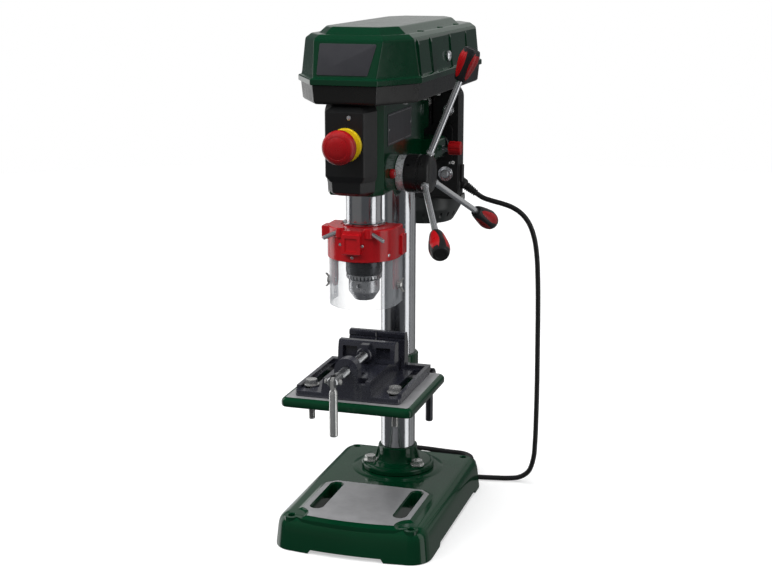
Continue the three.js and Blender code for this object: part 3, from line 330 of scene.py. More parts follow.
def lathe(profile, at=(0, 0, 0), d=(0, 0, 1), n=72, r=0.0, rn=3, ref=None):
    """Turns [(radius, height)] about the line from at along d. r rounds the profile's corners."""
    closed = not (profile[0][0] < 1e-6 and profile[-1][0] < 1e-6)
    if closed and profile[0] == profile[-1]:
        profile = profile[:-1]
    if r:
        profile = fillet(profile, r, rn, closed)
    q = Vector((0, 0, 1)).rotation_difference(Vector(d).normalized()).to_matrix()
    o = Vector(at)
    verts, rings = [], []
    for rad_, h in profile:
        if rad_ < 1e-6:
            rings.append([len(verts)] * n); verts.append(o + q @ Vector((0, 0, h)))
        else:
            rings.append([len(verts) + i for i in range(n)])
            verts += [o + q @ Vector((rad_ * math.cos(2 * math.pi * i / n), rad_ * math.sin(2 * math.pi * i / n), h)) for i in range(n)]
    faces, m = [], len(rings)
    for k in range(m if closed else m - 1):
        a, b = rings[k], rings[(k + 1) % m]
        for i in range(n):
            j = (i + 1) % n
            f = [a[i], a[j], b[j], b[i]]
            f = [v for t, v in enumerate(f) if v not in f[:t]]
            if len(f) > 2:
                faces.append(tuple(f))
    return make(verts, faces)


def boolean(a, others, op):
    for b in others:
        m = a.modifiers.new("b", "BOOLEAN")
        m.operation, m.object, m.solver = op, b, "MANIFOLD"
        b.hide_render = True
    dg = bpy.context.evaluated_depsgraph_get()
    me = bpy.data.meshes.new_from_object(a.evaluated_get(dg))
    a.modifiers.clear()
    old, a.data = a.data, me
    bpy.data.meshes.remove(old)
    for b in others:
        me = b.data
        bpy.data.objects.remove(b)
        bpy.data.meshes.remove(me)
    return a


def join(a, *others):
    return boolean(a, others, "UNION") if others else a


def cut(a, *others):
    return boolean(a, others, "DIFFERENCE") if others else a


def both(a, *others):
    return boolean(a, others, "INTERSECT")


def merge(*objs):
    """One object of separate shells (no boolean)."""
    bm = bmesh.new()
    for o in objs:
        bm.from_mesh(o.data)
    me = bpy.data.meshes.new("m")
    bm.to_mesh(me); bm.free()
    out = bpy.data.objects.new("m", me)
    bpy.context.collection.objects.link(out)
    for o in objs:
        d = o.data
        bpy.data.objects.remove(o)
        bpy.data.meshes.remove(d)
    return out


def turned(o, m):
    o.data.transform(m)
    return o


def about(axis, deg, at):
    return Matrix.Translation(at) @ Matrix.Rotation(math.radians(deg), 4, axis) @ Matrix.Translation(-Vector(at))


def hexhead(r, z0, z1, at, d=(0, 0, 1), top=0.8, a0=0.0, dish=True):
    """A chamfered hexagon along d, r across its corners / 2."""
    h = z1 - z0
    o = prism(circle(r, 6, 0, 0, a0), 0, h, "Z")
    cap = [(0, -0.1), (r * 1.3, -0.1), (r * 1.3, h - r * 0.28), (r * 0.86, h), (0, h)]
    if dish:
        cap = cap[:-1] + [(r * 0.62, h), (r * 0.55, h - 0.35), (0, h - 0.35)]
    o = both(o, lathe(cap, n=48))
    q = Vector((0, 0, 1)).rotation_difference(Vector(d).normalized()).to_matrix().to_4x4()
    o.data.transform(Matrix.Translation(Vector(at) + Vector(d).normalized() * z0) @ q)
    return o


def threaded(r, a, b, pitch=1.25, depth=0.45, lead=0.8):
    """Profile of a threaded rod from a to b, as rings."""
    p, h = [(0, a), (r - depth, a), (r, a + lead)], a + lead
    while h + pitch < b - lead:
        p += [(r, h + 0.15), (r - depth, h + pitch / 2), (r, h + pitch - 0.15)]
        h += pitch
    return p + [(r, b - lead), (r - depth, b), (0, b)]


def piece(o, name, body, mats, replaces=(), bevel=0.0, segments=2, angle=32, paint=None, sharp=38, weighted=True):
    """Finishes a piece: into the row frame, materials, soft edges, rides on its body."""
    o.name = name
    o.data.name = name
    o.data.materials.clear()
    for m in ([mats] if isinstance(mats, str) else mats):
        o.data.materials.append(MAT[m])
    for p in o.data.polygons:
        p.material_index = 0
        p.use_smooth = True
    if paint:
        for p in o.data.polygons:
            k = paint(p.center, p.normal)
            if k:
                p.material_index = k
    o.data.transform(Matrix.Scale(0.001, 4) @ Matrix.Translation((OX, OY, 0)))
    o.data.set_sharp_from_angle(angle=math.radians(sharp))
    if bevel:
        b = o.modifiers.new("edges", "BEVEL")
        b.width, b.segments, b.limit_method = bevel / 1000, segments, "ANGLE"
        b.angle_limit = math.radians(angle)
        b.harden_normals = False
        b.miter_outer = "MITER_ARC"
        if weighted:
            w = o.modifiers.new("normals", "WEIGHTED_NORMAL")
            w.keep_sharp = True
    o.hide_render = False
    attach(o, body)
    if replaces:
        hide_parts(*([replaces] if isinstance(replaces, str) else replaces))
    return o


# -------------------------------------------------------------------- cord
# 1.8 m of 6.8 mm lead: out of the gland, down under its weight to the floor, then
# four turns of a flat hank close behind the base, and across it to the plug.
LEAD_EXIT = (83.17, 86.92, 407.88)
LEAD_ROUTE = [LEAD_EXIT, (92.5, 87.5, 402.2), (104, 88.3, 398.6), (118, 89.3, 395.2), (132, 90.7, 390.5), (145, 92.3, 382), (155, 94, 369),
              (162, 95.5, 350), (166, 97, 325), (168, 98.5, 290), (169, 99.5, 250), (169.5, 100.5, 200), (170, 101, 150), (170, 101, 100),
              (169.5, 100.5, 60), (167.8, 100, 35), (161.5, 99, 15.6), (149.5, 97.5, 6.4), (133, 95, 3.65), (115, 91.5, 3.5), (98, 88.6, 3.45),
              (82, 87.1, 3.45), (66, 86.9, 3.45), (50, 86.9, 3.45)]
LEAD_R = 3.4


def through(points, step=3.0):
    """A centripetal curve through the points, as a list of Vectors."""
    P = [Vector(p) for p in points]
    out = []
    for i in range(len(P) - 1):
        p1, p2 = P[i], P[i + 1]
        p0 = P[i - 1] if i else 2 * p1 - p2
        p3 = P[i + 2] if i + 2 < len(P) else 2 * p2 - p1
        t = [0.0]
        for a, b in ((p0, p1), (p1, p2), (p2, p3)):
            t.append(t[-1] + max((b - a).length ** 0.5, 1e-6))
        m = max(2, int((p2 - p1).length / step) + 1)
        for k in range(m):
            u = t[1] + (t[2] - t[1]) * k / m
            a1 = p0 * ((t[1] - u) / (t[1] - t[0])) + p1 * ((u - t[0]) / (t[1] - t[0]))
            a2 = p1 * ((t[2] - u) / (t[2] - t[1])) + p2 * ((u - t[1]) / (t[2] - t[1]))
            a3 = p2 * ((t[3] - u) / (t[3] - t[2])) + p3 * ((u - t[2]) / (t[3] - t[2]))
            b1 = a1 * ((t[2] - u) / (t[2] - t[0])) + a2 * ((u - t[0]) / (t[2] - t[0]))
            b2 = a2 * ((t[3] - u) / (t[3] - t[1])) + a3 * ((u - t[1]) / (t[3] - t[1]))
            out.append(b1 * ((t[2] - u) / (t[2] - t[1])) + b2 * ((u - t[1]) / (t[2] - t[1])))
    return out + [P[-1]]


def ease(f):
    return (1 - math.cos(math.pi * min(1, max(0, f)))) / 2


def lead_path(s=63.72):
    p = through(LEAD_ROUTE)
    cy, c1, ri, ro = 115.0, 50.0, 21.0, 28.1
    c0, z0, z1, z2, rm = c1 - s, 3.45, 10.3, 17.15, 24.55

    def loop(r, z):
        for k in range(1, 23):
            f = k / 22; p.append(Vector((c1 - s * f, cy - r(0, f), z(0, f))))
        for k in range(1, 27):
            f = k / 26; a = math.radians(270 - 180 * f); p.append(Vector((c0 + r(1, f) * math.cos(a), cy + r(1, f) * math.sin(a), z(1, f))))
        for k in range(1, 23):
            f = k / 22; p.append(Vector((c0 + s * f, cy + r(2, f), z(2, f))))
        for k in range(1, 27):
            f = k / 26; a = math.radians(90 - 180 * f); p.append(Vector((c1 + r(3, f) * math.cos(a), cy + r(3, f) * math.sin(a), z(3, f))))
    # each change of lane or layer is made where the next turn has left room for it
    loop(lambda q, f: ro if q < 3 else ro + (ri - ro) * ease(f), lambda q, f: z0)
    loop(lambda q, f: ri, lambda q, f: z0 if q < 2 else z1 if q == 3 else z0 + (z1 - z0) * ease((f - 0.5) * 2))
    loop(lambda q, f: ri if q < 2 else ro if q == 3 else ri + (ro - ri) * ease(f * 2), lambda q, f: z1)
    loop(lambda q, f: ro if q < 2 else rm if q == 3 else ro + (rm - ro) * ease(f),
         lambda q, f: z1 if q == 0 else z2 if q > 1 else z1 + (z2 - z1) * ease((f - 0.5) * 2))
    for k in range(1, 39):
        x = c1 + (-62.3 - c1) * k / 38
        p.append(Vector((x, (cy - rm) + (99.0 - cy + rm) * ease((40 - x) / 80), z2 - (z2 - 13.0) * ease((-41.0 - x) / 23.3))))
    return p


def tube(path, r, n=12, ends=True):
    """A tube swept along a list of points, closed with flat caps at its ends."""
    P = [Vector(p) for p in path]
    T = [(P[min(i + 1, len(P) - 1)] - P[max(i - 1, 0)]).normalized() for i in range(len(P))]
    u = T[0].orthogonal().normalized()
    verts, faces = [], []
    for i, p in enumerate(P):
        if i:
            u = T[i - 1].rotation_difference(T[i]) @ u
        u = (u - T[i] * u.dot(T[i])).normalized()
        v = T[i].cross(u)
        rr = r(i / (len(P) - 1)) if callable(r) else r
        verts += [p + (u * math.cos(2 * math.pi * k / n) + v * math.sin(2 * math.pi * k / n)) * rr for k in range(n)]
    for i in range(len(P) - 1):
        for k in range(n):
            j = (k + 1) % n
            faces.append((i * n + k, i * n + j, (i + 1) * n + j, (i + 1) * n + k))
    if ends:
        faces += [tuple(range(n)), tuple((len(P) - 1) * n + k for k in range(n))]
    return make(verts, faces)


LEAD = lead_path()
lead = tube(LEAD, LEAD_R, 12)
lead_mm = sum((b - a).length for a, b in zip(LEAD, LEAD[1:]))


def finish_lead():
    lead.name = lead.data.name = "mains_lead_sheath"
    lead.data.materials.clear()
    lead.data.materials.append(MAT["rubber"])
    for p in lead.data.polygons:
        p.use_smooth = True
    lead.data.transform(Matrix.Scale(0.001, 4) @ Matrix.Translation((OX, OY, 0)))
    lead.data.set_sharp_from_angle(angle=math.radians(50))
    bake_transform(lead)
    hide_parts("mains_lead", "lead_hank")
    return lead


finish_lead()


def band(cy, cz, hy, hz, x, w=7.0, t=0.7, r=3.6):
    """A tie round a bundle of strands that run along X."""
    o = rect(cy - hy - t, cy + hy + t, cz - hz, cz + hz + t, r + t, 6)
    i = rect(cy - hy, cy + hy, cz - hz + 0.25, cz + hz, r, 6)
    a = prism(o, x - w / 2, x + w / 2, "X", 0.2, 1)
    return cut(a, prism(i, x - w, x + w, "X"))


tie_front = join(band(90.45, 10.4, 7.3, 10.3, 20), box(16.5, 23.5, 82.4, 84.2, 8, 16, 0.5))
piece(tie_front, "lead_tie_front", "frame", "satin", bevel=0.2)
tie_rear = join(band(139.6, 7.0, 7.3, 6.9, 14), box(10.5, 17.5, 145.6, 147.8, 4, 11, 0.5))
piece(tie_rear, "lead_tie_rear", "frame", "satin", bevel=0.2)

# plug: ribbed boot, moulded body with finger grips, two sleeved pins
boot = [(3.5, 0), (4.3, 0.3)]
for k in range(5):
    h = 1.2 + k * 2.1
    rr = 4.4 + 0.42 * k
    boot += [(rr, h), (rr, h + 1.3), (rr - 0.7, h + 1.5), (rr - 0.7, h + 2.0)]
boot += [(7.0, 12.2), (7.4, 14.5), (0, 14.5), (0, 0)]
plug_boot = lathe(boot, (-61.9, 99, 13), (-1, 0, 0), 32)
sec = rect(86, 112, 0.5, 25.5, 8, 6)
plug_body = loft([(h, inset(sec, d)) for h, d in ((-72.0, 4.2), (-72.6, 2.6), (-74.5, 1.0), (-77, 0.3), (-80, 0.0), (-91.5, 0.0), (-93.6, 0.5), (-94.6, 1.4), (-95.0, 2.8))], "X")
plug_body = cut(plug_body, *[box(-90 + 3 * k, -88.9 + 3 * k, 80, 86.7, 6, 20) for k in range(4)], *[box(-90 + 3 * k, -88.9 + 3 * k, 111.3, 118, 6, 20) for k in range(4)])
pins = [lathe([(0, -0.6), (2.35, -0.6), (2.35, 17.0), (1.9, 18.2), (1.0, 18.9), (0, 19.0)], (-94.0, y, 13), (-1, 0, 0), 24, 0.2) for y in (89.5, 108.5)]
sleeves = [lathe([(0, -0.6), (2.45, -0.6), (2.45, 9.6), (2.3, 9.8), (0, 9.8)], (-94.0, y, 13), (-1, 0, 0), 24) for y in (89.5, 108.5)]
plug = join(plug_body, plug_boot)
plug = merge(join(plug, *sleeves), *[join(p) for p in pins])
plug = piece(plug, "mains_plug_moulding", "frame", ["plastic", "steel"], "mains_plug", bevel=0.35,
             paint=lambda c, n: 1 if c.x < -103.9 else 0)


# -------------------------------------------------------------------- base
def base_outline(n=14):
    o = []
    for cx, cy, a0 in ((73, 54, 0), (-73, 54, 90), (-73, -191, 180)):
        o += [(cx + 28 * math.cos(math.radians(a0 + 90 * i / n)), cy + 28 * math.sin(math.radians(a0 + 90 * i / n))) for i in range(n + 1)]
    o += [(-73 + 146 * i / 14, -219 - 5 * (1 - (1 - i / 7) ** 2)) for i in range(1, 14)]
    o += [(73 + 28 * math.cos(math.radians(270 + 90 * i / n)), -191 + 28 * math.sin(math.radians(270 + 90 * i / n))) for i in range(n + 1)]
    return o


BO = base_outline()
SLOT_X, SLOT_Y = 54.5, (-181, -89)
casting = loft([(z, inset(BO, d)) for z, d in ((0, 0.5), (0.5, 0.1), (3.5, 0.2), (10, 1.0), (24, 2.6), (29, 3.4), (32.5, 4.4), (35.3, 5.9), (37.6, 7.8), (39.4, 10.1),
                                               (40.7, 12.8), (41.5, 15.6), (42, 18.6))])
casting = cut(casting, loft([(-1, inset(BO, 5)), (24, inset(BO, 8)), (32, inset(BO, 12)), (37, inset(BO, 20))]))
pad = [(58, -83), (-58, -83), (-70.5, -94)]
pad += [(-70.5, -200)] + [(-58 + 116 * i / 12, -206.8 - 4.6 * (1 - (1 - i / 6) ** 2)) for i in range(13)] + [(70.5, -200), (70.5, -94)]
pad = fillet(pad, [4, 4, 4, 2] + [0] * 13 + [2, 4], 4)
work = loft([(36.5, inset(pad, -6.6)), (41.2, inset(pad, -6.4)), (42.5, inset(pad, -4.6)), (43.7, inset(pad, -1.4)), (44.3, inset(pad, -0.2)), (44.5, inset(pad, 0.25))])
work = cut(work, *[lathe([(0, 41.6), (15.5, 41.6), (18.4, 42.2), (20.8, 43.4), (22.4, 44.8), (23.4, 47), (0, 47)], (s * 78.2, -203.5, 0), n=64) for s in (-1, 1)])
plinth = lathe([(0, 36), (64, 36), (64, 41.6), (61.5, 42.3), (58, 43.2), (55.2, 43.8), (53.4, 44.0), (0, 44.0)], n=96)
casting = join(casting, work, plinth)
feet = []
for s in (-1, 1):
    feet += [prism(slot_y(s * SLOT_X, SLOT_Y[0] - 4, SLOT_Y[1] + 4, 11.5), 20, 40)] + [cyl(9, 30, 41, (s * 77.2, y)) for y in (-203.5, 59)]
feet += [cyl(9, 18, 40, (38 * math.cos(math.radians(a)), 38 * math.sin(math.radians(a)))) for a in (90, 210, 330)]
# ribs under the top
feet += [box(-2, 2, -190, 60, 14, 39), box(-85, 85, -62, -58, 14, 39), box(-85, 85, 20, 24, 14, 39)]
casting = join(casting, *feet)
holes = []
for s in (-1, 1):
    holes += [loft([(10, slot_y(s * SLOT_X, SLOT_Y[0], SLOT_Y[1], 7.5)), (42.6, slot_y(s * SLOT_X, SLOT_Y[0], SLOT_Y[1], 7.5)),
                    (44.6, slot_y(s * SLOT_X, SLOT_Y[0] - 1.6, SLOT_Y[1] + 1.6, 9.1)), (50, slot_y(s * SLOT_X, SLOT_Y[0] - 1.6, SLOT_Y[1] + 1.6, 9.1))])]
    holes += [lathe([(0, 20), (4.5, 20), (4.5, 40.8), (5.6, 42.2), (5.6, 60), (0, 60)], (s * 77.2, y, 0), n=40) for y in (-203.5, 59)]
holes += [cyl(4.3, 10, 60, (38 * math.cos(math.radians(a)), 38 * math.sin(math.radians(a))), n=32) for a in (90, 210, 330)]
holes += [prism([(-52, -2), (49, -2), (44, 5.2), (-47, 5.2)], -260, -200, "Y"), prism([(-62, -2), (62, -2), (56, 5), (-56, 5)], 60, 120, "Y"),
          prism([(-156, -2), (38, -2), (32, 5), (-150, 5)], -130, -80, "X"), prism([(-156, -2), (38, -2), (32, 5), (-150, 5)], 80, 130, "X")]
casting = cut(casting, *holes)
piece(casting, "base_casting", "frame", ["green", "ground"], "base", bevel=0.6, angle=34,
      paint=lambda c, n: 1 if n.z > 0.97 and c.z > 44.25 and -213 < c.y < -80 else 0)

# ------------------------------------------------------ column and its foot
foot = lathe([(23.15, 44.3), (48.2, 44.3), (49, 45.1), (49, 49.6), (48, 51.0), (45.6, 51.4), (44.4, 52.6), (42.8, 53.0), (31, 53.0), (28.6, 53.8), (27.2, 56.2), (26.4, 61),
              (26.2, 66), (26.2, 73.6), (25.3, 74.5), (23.9, 74.5), (23.15, 73.8)], n=96)
foot = cut(foot, *[lathe([(0, 40), (4.3, 40), (4.3, 60), (0, 60)], (38 * math.cos(math.radians(a)), 38 * math.sin(math.radians(a)), 0), n=32) for a in (90, 210, 330)])
foot = join(foot, prism([(24, 52.8), (31.5, 52.8), (26.6, 70), (24, 72)], -2.2, 2.2, "Y"), prism([(-24, 52.8), (-31.5, 52.8), (-26.6, 70), (-24, 72)], -2.2, 2.2, "Y"))
piece(foot, "column_foot_casting", "frame", "green", "column_foot", bevel=0.5)
for i, a in enumerate((90, 210, 330)):
    x, y = 38 * math.cos(math.radians(a)), 38 * math.sin(math.radians(a))
    b = join(hexhead(7.6, 0, 5.3, (x, y, 55.0), a0=0.3 + i), lathe([(0, 53.2), (9.2, 53.2), (9.4, 53.5), (9.4, 54.7), (9.0, 55.1), (0, 55.1)], (x, y, 0), n=40),
             lathe([(r, h) for r, h in threaded(4, 20, 54)], (x, y, 0), n=24))
    piece(b, f"foot_bolt_set_{i + 1}", "frame", "zinc", f"foot_bolt_{i + 1}", bevel=0.25)
tube_c = lathe([(23, 44.4), (23, 544.2), (22.3, 545), (19.6, 545), (19, 544.4), (19, 44.4)], n=128)
piece(tube_c, "column_tube", "frame", "steel", "column", sharp=30)

# ------------------------------------------------------------------- table
T0, T1 = 188.0, 199.5
to = rect(-83, 83, -224, -64, 9, 8)
plate = loft([(T0, inset(to, 2.4)), (T0 + 0.6, inset(to, 1.0)), (T0 + 2.2, inset(to, 0.1)), (T0 + 4, to), (T1 - 5.0, to), (T1 - 3.4, inset(to, 0.5)), (T1 - 2.0, inset(to, 1.5)),
              (T1 - 0.9, inset(to, 2.9)), (T1 - 0.25, inset(to, 4.4)), (T1, inset(to, 5.9))])
plate = cut(plate, loft([(T0 - 1, inset(to, 8.5)), (T0 + 4, inset(to, 10))]))
grid = [prism([(-176, T0 + 5), (-64, T0 + 5), (-24, 196), (-24, 146), (-60, 152), (-100, 176)], -20, 20, "X"),
        lathe([(0, 140), (26, 140), (27, 141), (27, 202.8), (26, 204), (0, 204)], n=96), box(-14, 14, 18, 45, 149, 179, 2)]
grid += [box(-74, 74, y - 1.5, y + 1.5, T0 + 0.6, T0 + 5) for y in (-206, -84)] + [box(x - 1.5, x + 1.5, -214, -74, T0 + 0.6, T0 + 5) for x in (-34, 34)]
plate = join(plate, *grid)
plate = cut(plate, cyl(23.2, 130, 210, n=96), box(-1.6, 1.6, 15, 60, 130, 210), prism(circle(4.4, 32, 36, 164), -30, 30, "X"), cyl(9, 120, 210, (0, SPY), n=48),
            *[prism(slot_y(VX + s * 53.5, -200, -96, 4.6), 180, 210) for s in (-1, 1)])
piece(plate, "table_casting", "table", ["green", "ground"], "table", bevel=0.5, angle=34,
      paint=lambda c, n: 1 if n.z > 0.985 and c.z > T1 - 0.12 and c.y < -60 else 0)
lever = lathe([(0, 98.2), (4.0, 98.2), (5.0, 99.4), (5.0, 154), (4.4, 157), (4.4, 160), (0, 160)], (34, 36, 0), n=40)
ring = lathe([(4.1, 14.5), (8.0, 14.5), (9.2, 15.7), (9.2, 39.6), (8.0, 40.8), (4.1, 40.8)], (0, 36, 164), (1, 0, 0), n=48)
stud = lathe([(r, h) for r, h in threaded(4, -20, 41.5)], (0, 36, 164), (1, 0, 0), n=24)
nut = hexhead(7.4, 0, 6, (-14.5, 36, 164), (-1, 0, 0))
lv = merge(join(ring, lever), join(stud, nut))
piece(lv, "clamp_lever_bar", "table_clamp", ["dark_steel", "zinc"], "table_clamp_lever", bevel=0.3,
      paint=lambda c, n: 1 if c.x < 14.4 or c.x > 41 else 0)


# -------------------------------------------------------------------- vise
Z0 = 199.8


def vx(pts):
    return [(p[0] + VX, p[1]) for p in pts]


sole = prism(fillet(vx([(-66.5, -211), (66.5, -211), (66.5, -70), (-66.5, -70)]), 6, 5), Z0, Z0 + 7, "Z", 0.9, 2, bev0=0.4)
parts = []
for s in (-1, 1):
    a, b = (24, 33) if s > 0 else (-33, -24)
    parts.append(loft([(Z0 + 3, rect(a + VX, b + VX, -211, -72)), (Z0 + 12, rect(a + VX + (0 if s > 0 else 1.6), b + VX - (1.6 if s > 0 else 0), -210.6, -72)),
                       (225, rect(a + VX + (0 if s > 0 else 3.5), b + VX - (3.5 if s > 0 else 0), -210, -72))]))
    parts.append(box(*sorted((s * 12 + VX, s * 26 + VX)), -196, -72, Z0 + 4, 225))
    parts.append(box(*sorted((s * 14 + VX, s * 26 + VX)), -204, -195, Z0 + 4, 219))
    r0, r1 = (61.6, 66.5) if s > 0 else (-66.5, -61.6)
    parts.append(box(r0 + VX, r1 + VX, -202, -70.5, Z0 + 4, Z0 + 11.2))
    e0, e1 = (30, 64) if s > 0 else (-64, -30)
    parts.append(box(e0 + VX, e1 + VX, -80, -70.5, Z0 + 4, Z0 + 11.2))
    # stiffening web between the rail and the rear of the ear
    parts.append(prism([(-96, Z0 + 5), (-72, Z0 + 5), (-72, 240), (-78, 240)], *((33 + VX, 37 + VX) if s > 0 else (-37 + VX, -33 + VX)), "X"))
fixed = prism(fillet([(-88, 203), (-88, 252.5), (-85.8, 254), (-77.5, 254), (-72, 238), (-72, 203)], [0, 1, 1.5, 3, 3, 0], 3), -37 + VX, 37 + VX, "X")
nose = join(prism(circle(15, 56, VX, SCREW_Z), -211, -197, "Y"), box(-15 + VX, 15 + VX, -211, -197, Z0 + 3, SCREW_Z),
            box(-30 + VX, 30 + VX, -211, -203, Z0 + 4, 221))
vb = join(sole, *parts, fixed, nose)
vb = cut(vb, prism(circle(5.9, 40, VX, SCREW_Z), -215, -192, "Y"), box(-11.6 + VX, 11.6 + VX, -190, -100, Z0 - 2, Z0 + 10),
         *[prism(slot_y(VX + s * 53.5, -200, -84, 4.6), 190, 215) for s in (-1, 1)],
         *[prism(fillet([(s * 36.4 + VX, Z0 + 7.2), (s * 60.4 + VX, Z0 + 7.2), (s * 60.4 + VX, 215), (s * 36.4 + VX, 215)], 1.5, 3), -206, -81.5, "Y") for s in (-1, 1)],
         # V grooves in the fixed jaw
         prism([(-88.6, 244), (-86.4, 246.2), (-88.6, 248.4)], -40 + VX, 40 + VX, "X"), prism([(VX - 2.5, -88.6), (VX, -86.2), (VX + 2.5, -88.6)], 224, 260, "Z"),
         # pockets behind the fixed jaw
         *[box(*sorted((s * 8 + VX, s * 31 + VX)), -76, -60, 212, 234) for s in (-1, 1)])
piece(vb, "vise_casting", "table", "iron", "vise_body", bevel=0.8, segments=3, angle=30)

jaw = join(prism(fillet([(-150, 208.6), (-150, 218), (-137, 225), (-133.4, 225.8), (-131.6, 243), (-129.5, 250.4), (-127, 251.5), (-119, 251.5), (-116, 248.5), (-116, 208.6)],
                        [0, 2, 2, 1, 4, 3, 1, 1.2, 1, 0], 3), -11.4 + VX, 11.4 + VX, "X"),
           prism(fillet([(-133.5, 225.6), (-131.6, 243), (-129.5, 250.4), (-127, 251.5), (-119, 251.5), (-116, 248.5), (-116, 225.6)], [0, 4, 3, 1, 1.2, 1, 0], 3), -37 + VX, 37 + VX, "X"))
jaw = cut(jaw, *[prism(fillet([(s * 12 + VX, 230), (s * 31 + VX, 230), (s * 31 + VX, 245), (s * 12 + VX, 245)], 1.2, 3), -140, -125, "Y") for s in (-1, 1)],
          prism([(-115.4, 238), (-117.6, 240.2), (-115.4, 242.4)], -40 + VX, 40 + VX, "X"), prism([(VX - 2.5, -115.4), (VX, -117.8), (VX + 2.5, -115.4)], 224, 260, "Z"))
jaw = join(jaw, lathe([(0, 0), (9.6, 0), (9.6, 12.6), (8.8, 13.6), (0, 13.6)], (VX, -128.5, SCREW_Z), (0, -1, 0), 48), box(-6 + VX, 6 + VX, -141, -128, 244, 250.2, 1.5))
jaw = cut(jaw, prism(circle(5.6, 40, VX, SCREW_Z), -150, -128, "Y"))
piece(jaw, "vise_jaw_casting", "vise_jaw", "iron", "vise_moving_jaw", bevel=0.7, segments=3, angle=30)

screw = lathe([(r, h) for r, h in threaded(5.3, 0, 112, 1.6, 0.6, 1.2)], (VX, -128.4, SCREW_Z), (0, -1, 0), 40)
screw = join(screw, lathe([(0, 110), (6.0, 110), (6.7, 111.2), (6.7, 132.2), (5.6, 133.6), (0, 133.6)], (VX, -128.4, SCREW_Z), (0, -1, 0), 48))
screw = cut(screw, box(-2.6 + VX, 2.6 + VX, -275, -249, 225, 250), prism([(-257 + 2.2 * math.cos(math.pi * k / 14), SCREW_Z + 2.2 * math.sin(math.pi * k / 14)) for k in range(28)], -12 + VX, 12 + VX, "X"))
piece(screw, "vise_screw_rod", "vise_screw", "steel_y", "vise_screw", bevel=0.25)

tongue = prism(fillet([(-262, 228), (-252.3, 228), (-252.3, 240), (-255, 242), (-259, 242), (-262, 240)], [0, 0, 2, 2, 2, 2], 4), -2.2 + VX, 2.2 + VX, "X")
rod = lathe([(0, 170), (4.3, 170), (5.08, 171.2), (5.08, 222.4), (4.5, 225.4), (3.2, 227.4), (2.3, 230), (2.2, 232), (0, 232)], (VX, -257, 0), n=40)
pin = lathe([(0, -10.8), (1.6, -10.8), (3.2, -10.0), (3.2, -7.4), (1.9, -7.0), (1.9, 7.0), (3.2, 7.4), (3.2, 10.0), (1.6, 10.8), (0, 10.8)], (VX, -257, SCREW_Z), (1, 0, 0), 28)
piece(join(tongue, rod, pin), "vise_tommy_bar", "vise_handle", "zinc", "vise_handle", bevel=0.25)

for n, s in (("left", -1), ("right", 1)):
    x, y, zt = VX + s * 53.5, -185, Z0 + 7.3
    b = join(hexhead(7.7, 0, 6, (x, y, zt + 1.6), a0=0.5 * s), lathe([(0, zt), (9.4, zt), (9.8, zt + 0.4), (9.8, zt + 1.5), (9.2, zt + 1.9), (0, zt + 1.9)], (x, y, 0), n=44),
             lathe([(r, h) for r, h in threaded(4, 164, zt + 1)], (x, y, 0), n=24))
    piece(b, f"vise_bolt_set_{n}", "table", "zinc", f"vise_bolt_{n}", bevel=0.25)
    k = join(lathe([(4.3, 189.9), (9.3, 189.9), (9.6, 190.3), (9.6, 191.3), (9.2, 191.7), (4.3, 191.7)], (x, y, 0), n=40), hexhead(7.7, 0, 6.4, (x, y, 190.1), (0, 0, -1), dish=False))
    piece(cut(k, cyl(4.3, 180, 195, (x, y), n=28)), f"vise_nut_set_{n}", "table", "zinc", f"vise_nut_{n}", bevel=0.25)

# -------------------------------------------------------------------- head
H0, H1 = 445.0, 553.2
ho = fillet([(35, -20), (33, 0), (-33, 0), (-35, -20), (-35, -176), (-27, -192), (27, -192), (35, -176)], [0, 2, 2, 0, 3, 2, 2, 3], 4)
hb = loft([(H0, inset(ho, 1.8)), (H0 + 0.6, inset(ho, 0.7)), (H0 + 2, ho), (H1, ho)])
hb = join(hb, lathe([(0, 440), (31.5, 440), (33, 441.5), (33, H1 - 0.1), (0, H1 - 0.1)], n=96), lathe([(0, 441.6), (26.6, 441.6), (28, 443), (28, 450), (0, 450)], (0, SPY, 0), n=96))
for s in (-1, 1):
    hb = join(hb, prism(rect(*((22, 54) if s > 0 else (-54, -22)), 462, 492, 8, 6), -16, 34, "Y", 1.6, 3),
              lathe([(0, 34), (28.5, 34), (27.6, 35.0), (26.2, 35.5), (0, 35.5)], (0, PY, PZ), (s, 0, 0), 72))
hb = join(hb, prism(rect(-30, 30, 498, 540, 6, 4), 0, 38, "Y", 1.5, 2))
cuts = [cyl(22.25, 430, 532, (0, SPY), n=96), cyl(10, 520, 560, (0, SPY), n=48), cyl(23.3, 430, 547, n=96), prism(circle(10.7, 40, PY, PZ), -40, 40, "X"),
        box(-28, 28, -94, -34, 455, 560), box(-24, 24, -200, -172, 458, 540), prism(circle(3.3, 24, 18, 477), 46, 60, "X")]
cuts += [prism(circle(6.3, 32, s * 42, 477), -14, 40, "Y") for s in (-1, 1)]
hb = cut(hb, *cuts)
piece(hb, "head_casting", "frame", "green", "head", bevel=0.6, angle=34)

# blank plate with two rivets on the right side
bp = prism(fillet([(-162, 501), (-63, 501), (-63, 539), (-162, 539)], 2, 3), 35.02, 35.45, "X", 0.12, 1)
frame_line = [box(35.3, 35.55, -160.4, -64.6, z, z + 0.45) for z in (503, 536.6)] + [box(35.3, 35.55, y, y + 0.45, 503, 537) for y in (-160.4, -65.0)]
bp = merge(bp, *frame_line, *[lathe([(0, -0.3), (1.3, -0.3), (1.2, 0.35), (0.7, 0.7), (0, 0.78)], (35.4, y, 520), (1, 0, 0), 20) for y in (-157.4, -67.6)])
piece(bp, "head_plate", "frame", ["plate", "alloy"],
      paint=lambda c, n: 1 if c.x > 35.46 else 0)
